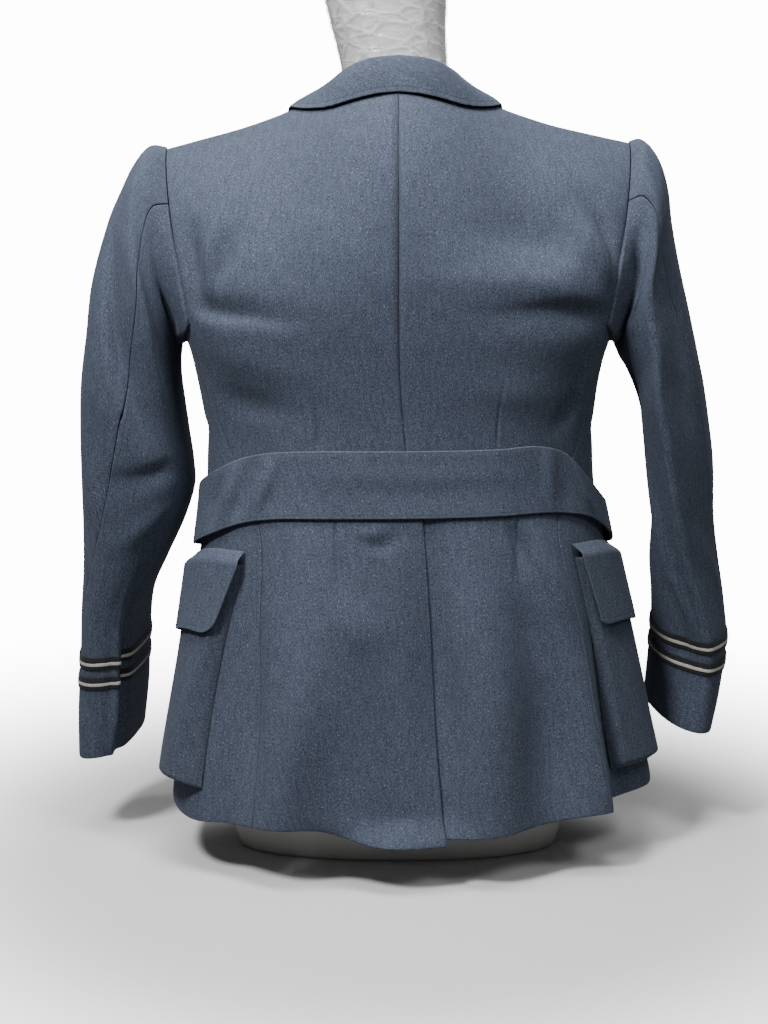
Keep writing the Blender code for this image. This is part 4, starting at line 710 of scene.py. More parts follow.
# %% Places of the panels
def seam_place(column, side, v):
    z = read(HEM, SIDE_NAME[side], 0.3) * (1 - np.clip(v, 0, 1)) + UNDERARM_Z * np.clip(v, 0, 1)
    return read(SEAMS, column, z)


def past_centre(distance, z):
    share = distance / read(BODY, "half_width", z)
    return np.arcsin(share ** (1 / read(BODY, "square", z))) / np.pi


def seamed(here, normal, v, backwards):
    """The shoulder seam's edges stand upright and a hair apart."""
    at_seam = (v >= 2) & (np.abs(here[..., 0]) > NECK_X - STEP)
    upright = ease((v - 1.97) / 0.03)[..., None] * (np.abs(here[..., :1]) > NECK_X - STEP)
    here = here + points(0.0, backwards * SEAM_GAP / 2 * at_seam, 0.0)
    return here, unit(normal * (1 - upright) + np.array((0.0, 0.0, 1.0)) * upright)


Dart = namedtuple("Dart", "side line depth width")
DARTS = [
    Dart(LEFT, ((0.113, 0.4405), (0.101, 0.488)), 0.0026, 0.0019),
    Dart(RIGHT, ((0.122, 0.4405), (0.118, 0.512)), 0.0015, 0.0017),
    Dart(LEFT, ((0.095, 0.370), (0.095, 0.322)), 0.0018, 0.0017),
    Dart(RIGHT, ((0.151, 0.371), (0.149, 0.327)), 0.0016, 0.0017),
]


DART_PATH = {
    LEFT: ((0.045, 0.322, 0.370, 0.4405, 0.488, 0.560), (0.095, 0.095, 0.095, 0.113, 0.101, 0.098)),
    RIGHT: ((0.045, 0.327, 0.371, 0.4405, 0.512, 0.560),
            (0.149, 0.149, 0.151, 0.122, 0.118, 0.116)),
}
DART_COLUMN, DART_PEAK = 0.35, 0.15


def dart_dip(side, s, z):
    """How far the darts' pinched lines sink into the cloth."""
    creases = [Crease(d.line, d.width, -d.depth, 0.0, DART_PEAK) for d in DARTS if d.side == side]
    return crease_height(creases, s, z, HALF_GIRTH, 1.0)


def back_panel(side):
    def place(c, v):
        z = BODY[1].z + (UNDERARM_Z - BODY[1].z) * np.clip(v, 0, 1)
        lap = VENT_LAP if side == LEFT else VENT_UNDERLAP
        inner = np.where(z < VENT_TOP_Z, -past_centre(lap, z), past_centre(SEAM_GAP / 3, z))
        outer = seam_place("side_back", side, v) - SEAM_GAP * (v < 1)
        dart = (np.interp(z, *DART_PATH[side]) - inner) / (outer - inner)
        before, after = c / DART_COLUMN * dart, 1 - (1 - c) / (1 - DART_COLUMN) * (1 - dart)
        s = inner + (outer - inner) * np.where(c < DART_COLUMN, before, after)
        here, normal = worn(side, s, v)
        tucked = (side == RIGHT) * ease((VENT_TUCK_TOP_Z - z) / 0.025) * (1 - ease(s / 0.05))
        out = dart_dip(side, s, here[..., 2]) - VENT_TUCK * tucked
        return seamed(here + normal * out[..., None], normal, v, 1)

    return place


def side_panel(side):
    def place(c, f):
        seam_top = read(SEAMS, "side_back", UNDERARM_Z), read(SEAMS, "side_front", UNDERARM_Z)
        inner = seam_place("side_back", side, f) + SEAM_GAP
        outer = seam_place("side_front", side, f) - SEAM_GAP
        s = inner + (outer - inner) * c
        share = np.clip((s - seam_top[0]) / (seam_top[1] - seam_top[0]), 0, 1)
        dip = UNDERARM_DIP / (UNDERARM_Z - BODY[1].z)
        return worn(side, s, f * (1 - dip * np.sin(np.pi * share) * f**4))

    return place


def front_edge(side, v):
    """Where the front's edge, or its roll line, lies at each v: found by halving."""
    low, high = np.full(v.shape, 0.60), np.full(v.shape, 1.06)
    for _ in range(24):
        middle = (low + high) / 2
        here = torso(side, middle, v)
        twist = np.radians(read(BODY, "twist", here[..., 2]))
        x = here[..., 0] - read(BODY, "centre_x", here[..., 2])
        straight_x = side * (x * np.cos(twist) + here[..., 1] * np.sin(twist))
        inside = straight_x > roll_x(here[..., 2])
        low, high = np.where(inside, middle, low), np.where(inside, high, middle)
    return (low + high) / 2


def roll_x(z):
    return -FRONT_LAP + ROLL_LEAN * np.maximum(z - BREAK_Z, 0.0)


def front_lift(side, s):
    """The wearer's left front laps over the right one."""
    return (LAP_LIFT if side == LEFT else 0.0) * ease((s - 0.90) / 0.05)


def front_panel(side):
    def place(c, v):
        outer = seam_place("side_front", side, v) + SEAM_GAP * (v < 1)
        edge = front_edge(side, v[0])
        s = outer + (edge[None, :] - outer) * c
        here, normal = worn(side, s, v)
        return seamed(here + normal * front_lift(side, s)[..., None], normal, v, -1)

    return place


# %% Make the body panels
BACK_WIDTH, PANEL_LENGTH = 0.21, 0.76
panel_rows = stops(220, PANEL_LENGTH) * 2
dart_columns = DART_COLUMN + np.array([-5.0, -3.4, -2.2, -1.3, -0.6, 0.0, 0.6, 1.3, 2.2, 3.4,
        5.0]) / 1000 / BACK_WIDTH
back_columns = np.sort(np.concatenate([stops(80, BACK_WIDTH), dart_columns]))
vent_row = (VENT_TOP_Z - BODY[1].z) / (UNDERARM_Z - BODY[1].z)
panel_rows = np.sort(np.append(panel_rows, [vent_row - 0.0004, vent_row + 0.0004]))
for side in (LEFT, RIGHT):
    name = SIDE_NAME[side]
    back = cloth("back_" + name + "_cloth", back_panel(side), back_columns, panel_rows)
    dress(back, WOOL, ["back_" + name])
    panel = cloth("side_" + name + "_cloth", side_panel(side), stops(44, 0.16), stops(100, 0.50))
    dress(panel, WOOL, ["side_" + name])
    front = cloth("front_" + name + "_cloth", front_panel(side), stops(70, 0.22), panel_rows)
    dress(front, WOOL, ["front_" + name])

# %% [markdown]
# ## Sleeves
# Each sleeve is a tube from the armhole to the cuff, cut as a wide top half and a narrow
# under half, with a seam behind the arm. The tube is a smooth curve through rings, each given
# by its outer and inner edge as seen from behind. The right one has a crisp crease behind.

# %% Rings of the sleeves
Sleeve = namedtuple("Sleeve", "outer_x outer_z inner_x inner_z y half_depth yaw tilt square crease")
SLEEVES = {
    LEFT: [
        Sleeve(0.2545, 0.7410, 0.2295, 0.5400, -0.004, 0.072, 0.00, 0.00, 0.90, 0.0),
        Sleeve(0.2700, 0.7230, 0.2300, 0.5350, -0.003, 0.076, 0.00, 0.00, 0.90, 0.0),
        Sleeve(0.2826, 0.6980, 0.2305, 0.5290, -0.002, 0.078, 0.00, 0.00, 0.90, 0.0),
        Sleeve(0.2968, 0.6654, 0.2312, 0.5210, -0.001, 0.079, 0.00, 0.00, 0.88, 0.1),
        Sleeve(0.3139, 0.6060, 0.2310, 0.5010, 0.000, 0.079, 0.02, 0.00, 0.85, 0.2),
        Sleeve(0.3205, 0.5540, 0.2285, 0.4760, 0.000, 0.078, 0.04, 0.00, 0.82, 0.2),
        Sleeve(0.3282, 0.5017, 0.2245, 0.4450, -0.002, 0.076, 0.04, 0.02, 0.80, 0.2),
        Sleeve(0.3310, 0.4490, 0.2205, 0.4130, -0.006, 0.074, 0.04, 0.04, 0.80, 0.1),
        Sleeve(0.3315, 0.3957, 0.2215, 0.3850, -0.013, 0.072, 0.06, 0.06, 0.80, 0.0),
        Sleeve(0.3320, 0.3500, 0.2350, 0.3470, -0.022, 0.070, 0.08, 0.09, 0.80, 0.0),
        Sleeve(0.3330, 0.3060, 0.2560, 0.3050, -0.031, 0.068, 0.11, 0.11, 0.80, 0.0),
        Sleeve(0.3360, 0.2620, 0.2760, 0.2620, -0.040, 0.066, 0.14, 0.13, 0.80, 0.0),
        Sleeve(0.3390, 0.2060, 0.2840, 0.2080, -0.049, 0.065, 0.16, 0.14, 0.80, 0.0),
        Sleeve(0.3440, 0.1500, 0.2880, 0.1520, -0.056, 0.064, 0.17, 0.14, 0.80, 0.0),
        Sleeve(0.3460, 0.0960, 0.2950, 0.1010, -0.062, 0.063, 0.17, 0.12, 0.80, 0.0),
    ],
    RIGHT: [
        Sleeve(0.2500, 0.7475, 0.2295, 0.5430, -0.004, 0.072, 0.00, 0.00, 0.90, 0.0),
        Sleeve(0.2650, 0.7300, 0.2305, 0.5390, -0.003, 0.076, 0.00, 0.00, 0.90, 0.0),
        Sleeve(0.2764, 0.7000, 0.2320, 0.5340, -0.002, 0.078, -0.05, 0.00, 0.90, 0.2),
        Sleeve(0.2830, 0.6623, 0.2345, 0.5270, -0.001, 0.078, -0.12, 0.00, 0.90, 0.5),
        Sleeve(0.2930, 0.6150, 0.2420, 0.5150, 0.000, 0.077, -0.20, 0.00, 0.90, 0.8),
        Sleeve(0.3040, 0.5700, 0.2520, 0.4920, 0.000, 0.076, -0.26, 0.00, 0.90, 1.0),
        Sleeve(0.3160, 0.5150, 0.2610, 0.4600, -0.001, 0.074, -0.36, 0.02, 0.90, 1.0),
        Sleeve(0.3260, 0.4600, 0.2680, 0.4290, -0.005, 0.072, -0.36, 0.03, 0.90, 1.0),
        Sleeve(0.3345, 0.4050, 0.2740, 0.3910, -0.012, 0.070, -0.33, 0.05, 0.90, 1.0),
        Sleeve(0.3400, 0.3530, 0.2760, 0.3500, -0.022, 0.069, -0.22, 0.07, 0.90, 1.0),
        Sleeve(0.3480, 0.3090, 0.2770, 0.3060, -0.033, 0.068, -0.10, 0.09, 0.90, 1.0),
        Sleeve(0.3560, 0.2660, 0.2840, 0.2620, -0.043, 0.067, 0.02, 0.10, 0.90, 0.9),
        Sleeve(0.3590, 0.2220, 0.2900, 0.2200, -0.051, 0.066, 0.14, 0.11, 0.88, 0.7),
        Sleeve(0.3510, 0.1700, 0.2910, 0.1720, -0.058, 0.065, 0.18, 0.12, 0.84, 0.4),
        Sleeve(0.3400, 0.1250, 0.2910, 0.1290, -0.063, 0.064, 0.20, 0.13, 0.80, 0.2),
    ],
}
HindSeam = namedtuple("HindSeam", "t left right")
HIND_SEAM = [
    HindSeam(0.00, 0.185, 0.185),
    HindSeam(0.09, 0.205, 0.190),
    HindSeam(0.20, 0.240, 0.185),
    HindSeam(0.32, 0.270, 0.160),
    HindSeam(0.45, 0.255, 0.110),
    HindSeam(0.60, 0.210, 0.075),
    HindSeam(0.80, 0.150, 0.060),
    HindSeam(1.00, 0.120, 0.060),
]
FORE_SEAM = 0.690
ARMHOLE_BACK_END, ARMHOLE_FRONT_START = 0.385, 0.615

# %% Creases of the sleeves
SLEEVE_CREASES = {
    LEFT: [
        Crease(((0.110, 0.240), (0.200, 0.320), (0.270, 0.430), (0.330, 0.540)), 0.016, -0.0125,
                0.40, 0.45),
        Crease(((0.150, 0.140), (0.265, 0.235), (0.345, 0.350), (0.395, 0.470)), 0.016, 0.0085,
                -0.20, 0.50),
        Crease(((0.430, 0.030), (0.350, 0.060), (0.290, 0.130)), 0.010, -0.0060, 0.30, 0.20),
        Crease(((0.100, 0.060), (0.140, 0.130), (0.150, 0.210)), 0.016, 0.0030, 0.00, 0.40),
        Crease(((0.400, 0.520), (0.300, 0.560), (0.190, 0.590)), 0.013, -0.0056, 0.30, 0.35),
        Crease(((0.430, 0.600), (0.330, 0.640), (0.220, 0.700)), 0.013, 0.0036, 0.00, 0.50),
        Crease(((0.120, 0.440), (0.160, 0.520), (0.170, 0.620)), 0.018, -0.0030, 0.00, 0.50),
        Crease(((0.330, 0.700), (0.340, 0.820), (0.345, 0.900), (0.340, 1.080)), 0.007, 0.0070,
                -0.30, 0.70),
        Crease(((0.385, 0.720), (0.385, 0.840), (0.385, 1.080)), 0.009, -0.0080, 0.00, 0.70),
        Crease(((0.120, 0.860), (0.180, 0.930), (0.200, 1.050)), 0.014, 0.0020, 0.00, 0.50),
        Crease(((0.600, 0.480), (0.700, 0.520), (0.800, 0.530)), 0.012, -0.0040, 0.25, 0.45),
        Crease(((0.560, 0.560), (0.680, 0.600), (0.780, 0.640)), 0.011, -0.0034, 0.25, 0.50),
        Crease(((0.620, 0.420), (0.720, 0.430), (0.820, 0.400)), 0.013, 0.0028, 0.00, 0.50),
        Crease(((0.700, 0.060), (0.760, 0.150), (0.800, 0.260)), 0.014, -0.0036, 0.20, 0.50),
        Crease(((0.880, 0.300), (0.930, 0.420), (0.940, 0.560)), 0.018, -0.0020, 0.00, 0.50),
        Crease(((0.850, 0.700), (0.900, 0.780), (0.920, 0.880)), 0.016, 0.0018, 0.00, 0.50),
    ],
    RIGHT: [
        Crease(((0.250, 0.015), (0.300, 0.100), (0.330, 0.180)), 0.010, -0.0060, 0.30, 0.50),
        Crease(((0.250, 0.120), (0.335, 0.170), (0.355, 0.360), (0.395, 0.430)), 0.014, 0.0060,
                0.30, 0.45),
        Crease(((0.400, 0.300), (0.430, 0.440), (0.450, 0.560)), 0.014, -0.0060, 0.30, 0.60),
        Crease(((0.395, 0.430), (0.400, 0.560), (0.360, 0.640), (0.310, 0.760), (0.268, 0.880)),
                0.012, 0.0080, 0.40, 0.55),
        Crease(((0.440, 0.600), (0.400, 0.690), (0.350, 0.800), (0.320, 0.900)), 0.013, -0.0070,
                0.30, 0.55),
        Crease(((0.160, 0.280), (0.160, 0.450), (0.160, 0.640)), 0.022, -0.0030, 0.00, 0.50),
        Crease(((0.120, 0.300), (0.120, 0.450), (0.120, 0.640)), 0.030, 0.0040, 0.00, 0.50),
        Crease(((0.205, 0.130), (0.232, 0.220), (0.250, 0.320)), 0.008, 0.0024, 0.30, 0.40),
        Crease(((0.100, 0.060), (0.130, 0.120), (0.120, 0.200)), 0.012, -0.0018, 0.00, 0.40),
        Crease(((0.180, 0.430), (0.150, 0.500), (0.080, 0.560)), 0.015, -0.0022, 0.00, 0.50),
        Crease(((0.200, 0.660), (0.140, 0.730), (0.110, 0.800)), 0.014, 0.0024, 0.00, 0.50),
        Crease(((0.600, 0.500), (0.700, 0.540), (0.790, 0.560)), 0.012, -0.0038, 0.25, 0.50),
        Crease(((0.580, 0.590), (0.680, 0.620), (0.770, 0.660)), 0.011, -0.0030, 0.25, 0.45),
        Crease(((0.640, 0.430), (0.730, 0.450), (0.820, 0.420)), 0.013, 0.0026, 0.00, 0.50),
        Crease(((0.720, 0.080), (0.770, 0.170), (0.810, 0.280)), 0.014, -0.0034, 0.20, 0.50),
        Crease(((0.900, 0.320), (0.940, 0.440), (0.950, 0.580)), 0.018, -0.0022, 0.00, 0.50),
    ],
}
SLEEVE_GIRTH, SLEEVE_LENGTH, SOFTEN = 0.42, 0.66, 0.04


# %% The sleeve's surface
def armhole(side, a, surface=torso):
    back = np.clip(a / ARMHOLE_BACK_END, 0, 1)
    under = np.clip((a - ARMHOLE_BACK_END) / (ARMHOLE_FRONT_START - ARMHOLE_BACK_END), 0, 1)
    front = np.clip((a - ARMHOLE_FRONT_START) / (1 - ARMHOLE_FRONT_START), 0, 1)
    back_s, front_s = SEAMS[-1].side_back, SEAMS[-1].side_front
    s = np.where(a > ARMHOLE_FRONT_START, front_s, back_s + (front_s - back_s) * under)
    dip = UNDERARM_DIP / (UNDERARM_Z - BODY[1].z) * np.sin(np.pi * under)
    v = np.where(a < ARMHOLE_BACK_END, 2 - back,
            np.where(a > ARMHOLE_FRONT_START, 1 + front, 1 - dip))
    return surface(side, s, v)


def sleeve_ring(side, row, a):
    angle = 2 * np.pi * a
    across, along = power(np.cos(angle), row.square), power(np.sin(angle), row.square)
    ridge = 2 / np.pi * np.arcsin(np.clip(np.sin(angle), 0, 1))
    along = np.where(along > 0, along + (ridge - along) * row.crease, along)
    x = (row.outer_x + row.inner_x) / 2 + (row.outer_x - row.inner_x) / 2 * across
    z = (row.outer_z + row.inner_z) / 2 + (row.outer_z - row.inner_z) / 2 * across
    y = row.half_depth * along
    return points(side * (x + row.yaw * y), row.y + y, z - row.tilt * y)


def sleeve(side, a, t):
    a, t = np.broadcast_arrays(np.asarray(a, float), np.asarray(t, float))
    a = a % 1.0
    hang = SLEEVE_GAP * np.sin(np.pi * a) ** 8
    rings = [armhole(side, a) + points(side * SLEEVE_GAP, 0.0, -hang)]
    rings += [sleeve_ring(side, row, a) for row in SLEEVES[side]]
    rings = np.array(rings)
    slopes = np.gradient(rings, axis=0)
    last = len(rings) - 1
    place = np.clip(t, 0, 1) * last
    i = np.clip(place.astype(int), 0, last - 1)
    f = (place - i)[..., None]
    pick = np.indices(i.shape)
    here, after = (i, *pick), (i + 1, *pick)
    return (
        (1 + 2 * f) * (1 - f) ** 2 * rings[here]
        + f * (1 - f) ** 2 * slopes[here]
        + f * f * (3 - 2 * f) * rings[after]
        + f * f * (f - 1) * slopes[after]
    )


def worn_sleeve(side, a, t, out):
    """The sleeve with its creases, moved out by this much, and its outward direction."""
    def surface(p, q):
        return sleeve(side, p, q)

    normal = normals_of(surface, a, t, 1.0, -side)
    beside = normals_of(surface, a - SOFTEN, t, 1.0, -side) + normals_of(surface, a + SOFTEN, t,
            1.0, -side)
    height = crease_height(SLEEVE_CREASES[side], a % 1.0, t, SLEEVE_GIRTH, SLEEVE_LENGTH)
    height = height * ease((t - 0.01) / 0.06) * (0.45 + 0.55 * ease((1.0 - t) / 0.06))
    moved = normal * np.asarray(out)[..., None] + unit(normal + beside) * height[..., None]
    return surface(a, t) + moved, normal


def sleeve_panel(side, part):
    def place(c, t):
        hind = read(HIND_SEAM, SIDE_NAME[side], t)
        start, end = (FORE_SEAM - 1, hind) if part == "top" else (hind, FORE_SEAM)
        gap = SEAM_GAP * 1.5
        a = start + gap + (end - start - 2 * gap) * c
        here, normal = worn_sleeve(side, a, np.maximum(t, 0), CLOTH)
        seam = armhole(side, a % 1.0, lambda *at: worn(*at)[0])
        tucked = seam + points(side * ARMHOLE_GAP, 0.0, 0.0) - normal * ARMHOLE_SINK
        return np.where((t < 0)[..., None], tucked, here), normal

    return place


# %% Make the sleeves
ARMHOLE_GAP, ARMHOLE_SINK = 0.0004, 0.0004
sleeve_rows = np.concatenate([[-1.0], stops(150, 0.64)])
for side in (LEFT, RIGHT):
    name = SIDE_NAME[side]
    top = cloth(f"sleeve_top_{name}_cloth", sleeve_panel(side, "top"), stops(84, 0.24), sleeve_rows)
    dress(top, WOOL, ["sleeve_top_" + name])
    under = cloth(f"sleeve_under_{name}_cloth", sleeve_panel(side, "under"), stops(60, 0.17),
            sleeve_rows)
    dress(under, WOOL, ["sleeve_under_" + name])

# %% [markdown]
# ## Rank braid
# Two flat bands of black braid go round each cuff, each with one narrow pale stripe woven a
# little below its middle. A band is a closed strip on the sleeve's own surface, so it follows
# every crease. The stripe stands a trace proud, and its faces have the pale finish.

# %% Make the braid
BRAID_WIDTH = 0.014
BRAID_FEET = {LEFT: (0.082, 0.105), RIGHT: (0.067, 0.091)}
STRIPE = (0.30, 0.57)
STRIPE_RISE = 0.00025


def t_above_cuff(side, distance):
    t = np.linspace(0.7, 1.0, 61)
    centre = (sleeve(side, 0.0, t) + sleeve(side, 0.5, t)) / 2
    lengths = np.linalg.norm(np.diff(centre, axis=0), axis=-1)
    from_cuff = np.concatenate([np.cumsum(lengths[::-1])[::-1], [0.0]])
    return float(np.interp(distance, from_cuff[::-1], t[::-1]))


def braid_band(side, foot):
    low, high = t_above_cuff(side, foot), t_above_cuff(side, foot + BRAID_WIDTH)

    def place(c, rise):
        inside = (rise > STRIPE[0]) & (rise < STRIPE[1])
        out = CLOTH + REST_GAP + BRAID + STRIPE_RISE * inside
        return worn_sleeve(side, c, low + rise * (high - low), out)

    return place


braid_rows = np.array([0, 0.04, 0.10, 0.18, STRIPE[0], STRIPE[0] + 0.02, 0.34, 0.405, 0.47,
                       STRIPE[1] - 0.02, STRIPE[1], 0.63, 0.72, 0.82, 0.90, 0.96, 1.0])
for side in (LEFT, RIGHT):
    name = SIDE_NAME[side]
    for number, foot in enumerate(BRAID_FEET[side], 1):
        piece = f"rank_braid_{name}_{number}"
        band = cloth(piece + "_woven", braid_band(side, foot), np.linspace(0, 1, int(220 * DETAIL)),
                braid_rows, BRAID, closed=True)
        dress(band, BRAID_BLACK, [piece])
        band.data.materials.append(BRAID_PALE)
        rises = np.array([sum(band.data.uv_layers["weave"].data[i].uv.y for i in face.loop_indices) / 4
                          for face in band.data.polygons]) / BRAID_WIDTH
        pale = (rises > STRIPE[0]) & (rises < STRIPE[1])
        band.data.polygons.foreach_set("material_index", pale.astype(int))

# %% [markdown]
# ## Belt
# The belt is a separate strip of the same wool, turned in at both edges and stitched close
# to them. It lies flat on the back and hangs lower and looser at the sides, towards its
# buckle. A few diagonal creases run across it where it turns round the waist.

# %% Make the belt
BELT_END_S, BELT_TIP_S = 0.990, (0.850, 1.030)
BELT_STITCH = 0.0027
BELT_CREASES = [
    Crease(((0.250, 0.00), (0.215, 0.50), (0.185, 1.00)), 0.009, 0.0044, 0.50, 0.5),
    Crease(((0.300, 0.00), (0.262, 0.55), (0.225, 1.00)), 0.008, -0.0036, 0.40, 0.5),
    Crease(((0.335, 0.00), (0.312, 0.45), (0.280, 1.00)), 0.009, 0.0046, 0.00, 0.5),
    Crease(((0.370, 0.02), (0.362, 0.45), (0.340, 0.98)), 0.009, -0.0030, 0.20, 0.5),
    Crease(((-0.215, 1.00), (-0.222, 0.50), (-0.226, 0.00)), 0.008, 0.0044, 0.50, 0.5),
    Crease(((-0.248, 1.00), (-0.262, 0.50), (-0.270, 0.00)), 0.007, -0.0040, 0.40, 0.5),
    Crease(((-0.290, 1.00), (-0.320, 0.45), (-0.350, 0.00)), 0.009, 0.0044, 0.20, 0.5),
    Crease(((0.180, 0.66), (0.000, 0.60), (-0.200, 0.62)), 0.009, 0.0013, 0.00, 0.5),
    Crease(((0.160, 0.36), (-0.020, 0.34), (-0.190, 0.38)), 0.007, -0.0004, 0.00, 0.4),
    Crease(((0.560, 0.10), (0.600, 0.50), (0.650, 0.80)), 0.012, 0.0012, 0.00, 0.5),
    Crease(((-0.600, 0.90), (-0.640, 0.50), (-0.660, 0.10)), 0.012, 0.0012, 0.00, 0.5),
]
BELT_WIDTH, BELT_LENGTH = 0.066, 1.16


def belt_point(side, s, h, lift=0.0):
    name = SIDE_NAME[side]
    foot, top = read(BELT, "foot_" + name, s), read(BELT, "top_" + name, s)
    v = height_to_v(side, s, foot + (top - foot) * h)
    normal = torso_normal(side, s, v)
    out = read(BELT, "off_" + name, s) + front_lift(LEFT, s) + BELT_CLOTH + lift
    return torso(side, s, v) + normal * out[..., None], normal


def belt_strip(p, h):
    """The whole belt, from its right end round the back to its left end."""
    left, left_normal = belt_point(LEFT, np.maximum(p, 0) * BELT_END_S, h)
    right, right_normal = belt_point(RIGHT, np.maximum(-p, 0) * BELT_END_S, h)
    is_left = (p >= 0)[..., None]
    here, normal = np.where(is_left, left, right), np.where(is_left, left_normal, right_normal)
    out = crease_height(BELT_CREASES, p, h, BELT_LENGTH / 2, BELT_WIDTH)
    spare = read(BELT, "off_left", np.abs(p) * BELT_END_S) - 0.0006
    return here + normal * np.maximum(out, -spare)[..., None], normal


def belt_tip(c, h):
    s = BELT_TIP_S[1] + (BELT_TIP_S[0] - BELT_TIP_S[1]) * c
    narrow = 0.06 + 0.30 * np.maximum(c - 0.72, 0) / 0.28
    return belt_point(LEFT, s, narrow + (1 - 2 * narrow) * h, BELT_CLOTH + REST_GAP)


belt_columns = stops(300, BELT_LENGTH) * 2 - 1
belt_rows = stops(14, BELT_WIDTH, grooves=[BELT_STITCH])
belt = cloth("belt_cloth", belt_strip, belt_columns, belt_rows, BELT_CLOTH, grooves=[BELT_STITCH])
dress(belt, TRIM_WOOL, ["belt"])
tip = cloth("belt_tip_cloth", belt_tip, stops(40, 0.13), stops(12, 0.058, grooves=[BELT_STITCH]),
        BELT_CLOTH,
            grooves=[BELT_STITCH])
dress(tip, TRIM_WOOL, ["belt_tip"])

# %% [markdown]
# ## Hip pockets
# A bellows pocket is a bag whose sides fold in like an accordion, so it can swell. The face
# stands off the jacket behind, and the fold below it falls in shadow. A deep flap with
# rounded corners hangs over its mouth, with two rows of stitches along its top.

# %% Surfaces of the pockets
Pocket = namedtuple("Pocket", "back_s front_s top_z foot_z out_top out_foot out_front lean")
POCKETS = {
    LEFT: Pocket(0.272, 0.660, 0.322, 0.092, 0.009, 0.024, 0.009, 0.106),
    RIGHT: Pocket(0.266, 0.660, 0.326, 0.100, 0.009, 0.018, 0.009, 0.030),
}
FLAP_RISE, FLAP_DROP = 0.014, 0.071
FLAP_SAG, FLAP_SAG_START, LEAN_AT_BASE = 0.034, 0.15, 0.60
FLAP_OVERHANG_S, FLAP_CORNER, FLAP_CLEAR = 0.006, 0.016, 0.0022
POCKET_BASE = {LEFT: 0.0017, RIGHT: 0.0022}
POCKET_FOOT_BASE = 0.0014
GUSSET_C, GUSSET_D = (0.0, 0.008, 0.016), (0.97, 0.985, 1.0)


def bag_height(pocket, c, d):
    out = pocket.out_top + (pocket.out_foot - pocket.out_top) * ease(d)
    return out + (pocket.out_front - out) * ease((c - 0.05) / 0.65)


def sag(c):
    """How far the pocket's top dips towards the front, under the belt."""
    return FLAP_SAG * ease((c - FLAP_SAG_START) / (1 - FLAP_SAG_START))


def lean(pocket, c, d):
    """How far the pocket's rear edge leans towards the front on its way down."""
    return pocket.lean * np.sin(np.pi / 2 * d) * (1 - c)


def pocket_bag(side):
    pocket = POCKETS[side]

    def place(c, d):
        z = pocket.top_z - sag(c) * (1 - d) + (pocket.foot_z - pocket.top_z) * d
        sideways = np.minimum(np.interp(c, GUSSET_C, (0.0, 0.5, 1.0)),
                              np.interp(1 - c, GUSSET_C, (0.0, 0.5, 1.0)))
        footways = np.interp(d, GUSSET_D, (1.0, 0.5, 0.0))
        s = pocket.back_s + (pocket.front_s - pocket.back_s) * c
        s = s + lean(pocket, c, d) * (LEAN_AT_BASE + (1 - LEAN_AT_BASE) * sideways * footways)
        v = height_to_v(side, s, z)
        here, normal = worn(side, s, v)
        base = POCKET_BASE[side] + POCKET_FOOT_BASE * ease((d - 0.8) / 0.2)
        raised = base + (bag_height(pocket, c, d) - base) * sideways * footways
        return here + normal * raised[..., None], normal

    return place


def pocket_flap(side):
    pocket = POCKETS[side]

    def place(c, d):
        s = pocket.back_s - FLAP_OVERHANG_S + (pocket.front_s - pocket.back_s + 2 * FLAP_OVERHANG_S) * c
        from_end = np.minimum(c, 1 - c) * 0.20
        turn = np.maximum(FLAP_CORNER - from_end, 0)
        corner = FLAP_CORNER - np.sqrt(np.maximum(FLAP_CORNER**2 - turn**2, 0))
        z = pocket.top_z + FLAP_RISE - sag(c) - (FLAP_RISE + FLAP_DROP - corner) * d
        down = np.clip((pocket.top_z - z) / (pocket.top_z - pocket.foot_z), 0, 1)
        s = s + lean(pocket, c, down)
        here, normal = worn(side, s, height_to_v(side, s, z))
        raised = CLOTH + 3 * REST_GAP + (bag_height(pocket, c,
                down) + FLAP_CLEAR) * ease((d + 0.02) / 0.18)
        return here + normal * raised[..., None], normal

    return place


# %% Make the pockets
FLAP_STITCH = 0.0045
bag_columns = np.sort(np.concatenate([np.linspace(0.016, 0.984, int(60 * DETAIL)),
        [0, 0.004, 0.008, 0.012, 0.988, 0.992, 0.996, 1]]))
bag_rows = np.sort(np.concatenate([np.linspace(0, 0.97, int(60 * DETAIL)),
        [0.978, 0.985, 0.992, 1]]))
for side in (LEFT, RIGHT):
    name = SIDE_NAME[side]
    bag = cloth(f"pocket_{name}_cloth", pocket_bag(side), bag_columns, bag_rows)
    # The bag wears the darker copy of the wool: shade painted into its colour.
    dress(bag, PAINTED_SHADE_WOOL, ["pocket_" + name])
    flap = cloth(f"pocket_flap_{name}_cloth", pocket_flap(side),
            stops(70, 0.2, grooves=[FLAP_STITCH]),
                 stops(36, 0.085, grooves=[FLAP_STITCH]), grooves=[FLAP_STITCH])
    dress(flap, TRIM_WOOL, ["pocket_flap_" + name])

# %% [markdown]
# ## Collar and lapels
# The collar's fall is a curved strip that turns over at the neck and lies on the shoulders.
# Its stand is inside it. The lapels are the fronts' own edges turned back along the roll
# line. The fall and the lapels are laid on the body's surface by casting rays at it, as a
# tailor presses them down onto the chest.

# %% Guides to lay cloth on
TORSO_STOPS = np.concatenate([np.linspace(0, 1, 60)[:-1], np.linspace(1, 2, 50)])


def make_guide(side):
    s_stops = np.concatenate([np.linspace(-0.02, SEAMS[-1].side_back, 60),
            np.linspace(SEAMS[-1].side_front, 1.03, 60)])
    s, v = np.meshgrid(s_stops, TORSO_STOPS, indexing="ij")
    here, normal = worn(side, s, v)
    grid = here + normal * front_lift(side, s)[..., None]
    rows = len(TORSO_STOPS)
    faces = [
        (i * rows + j, (i + 1) * rows + j, (i + 1) * rows + j + 1, i * rows + j + 1)
        for i in range(len(s_stops) - 1)
        for j in range(rows - 1)
        if i != 59
    ]
    return BVHTree.FromPolygons([Vector(p) for p in grid.reshape(-1, 3)], faces)


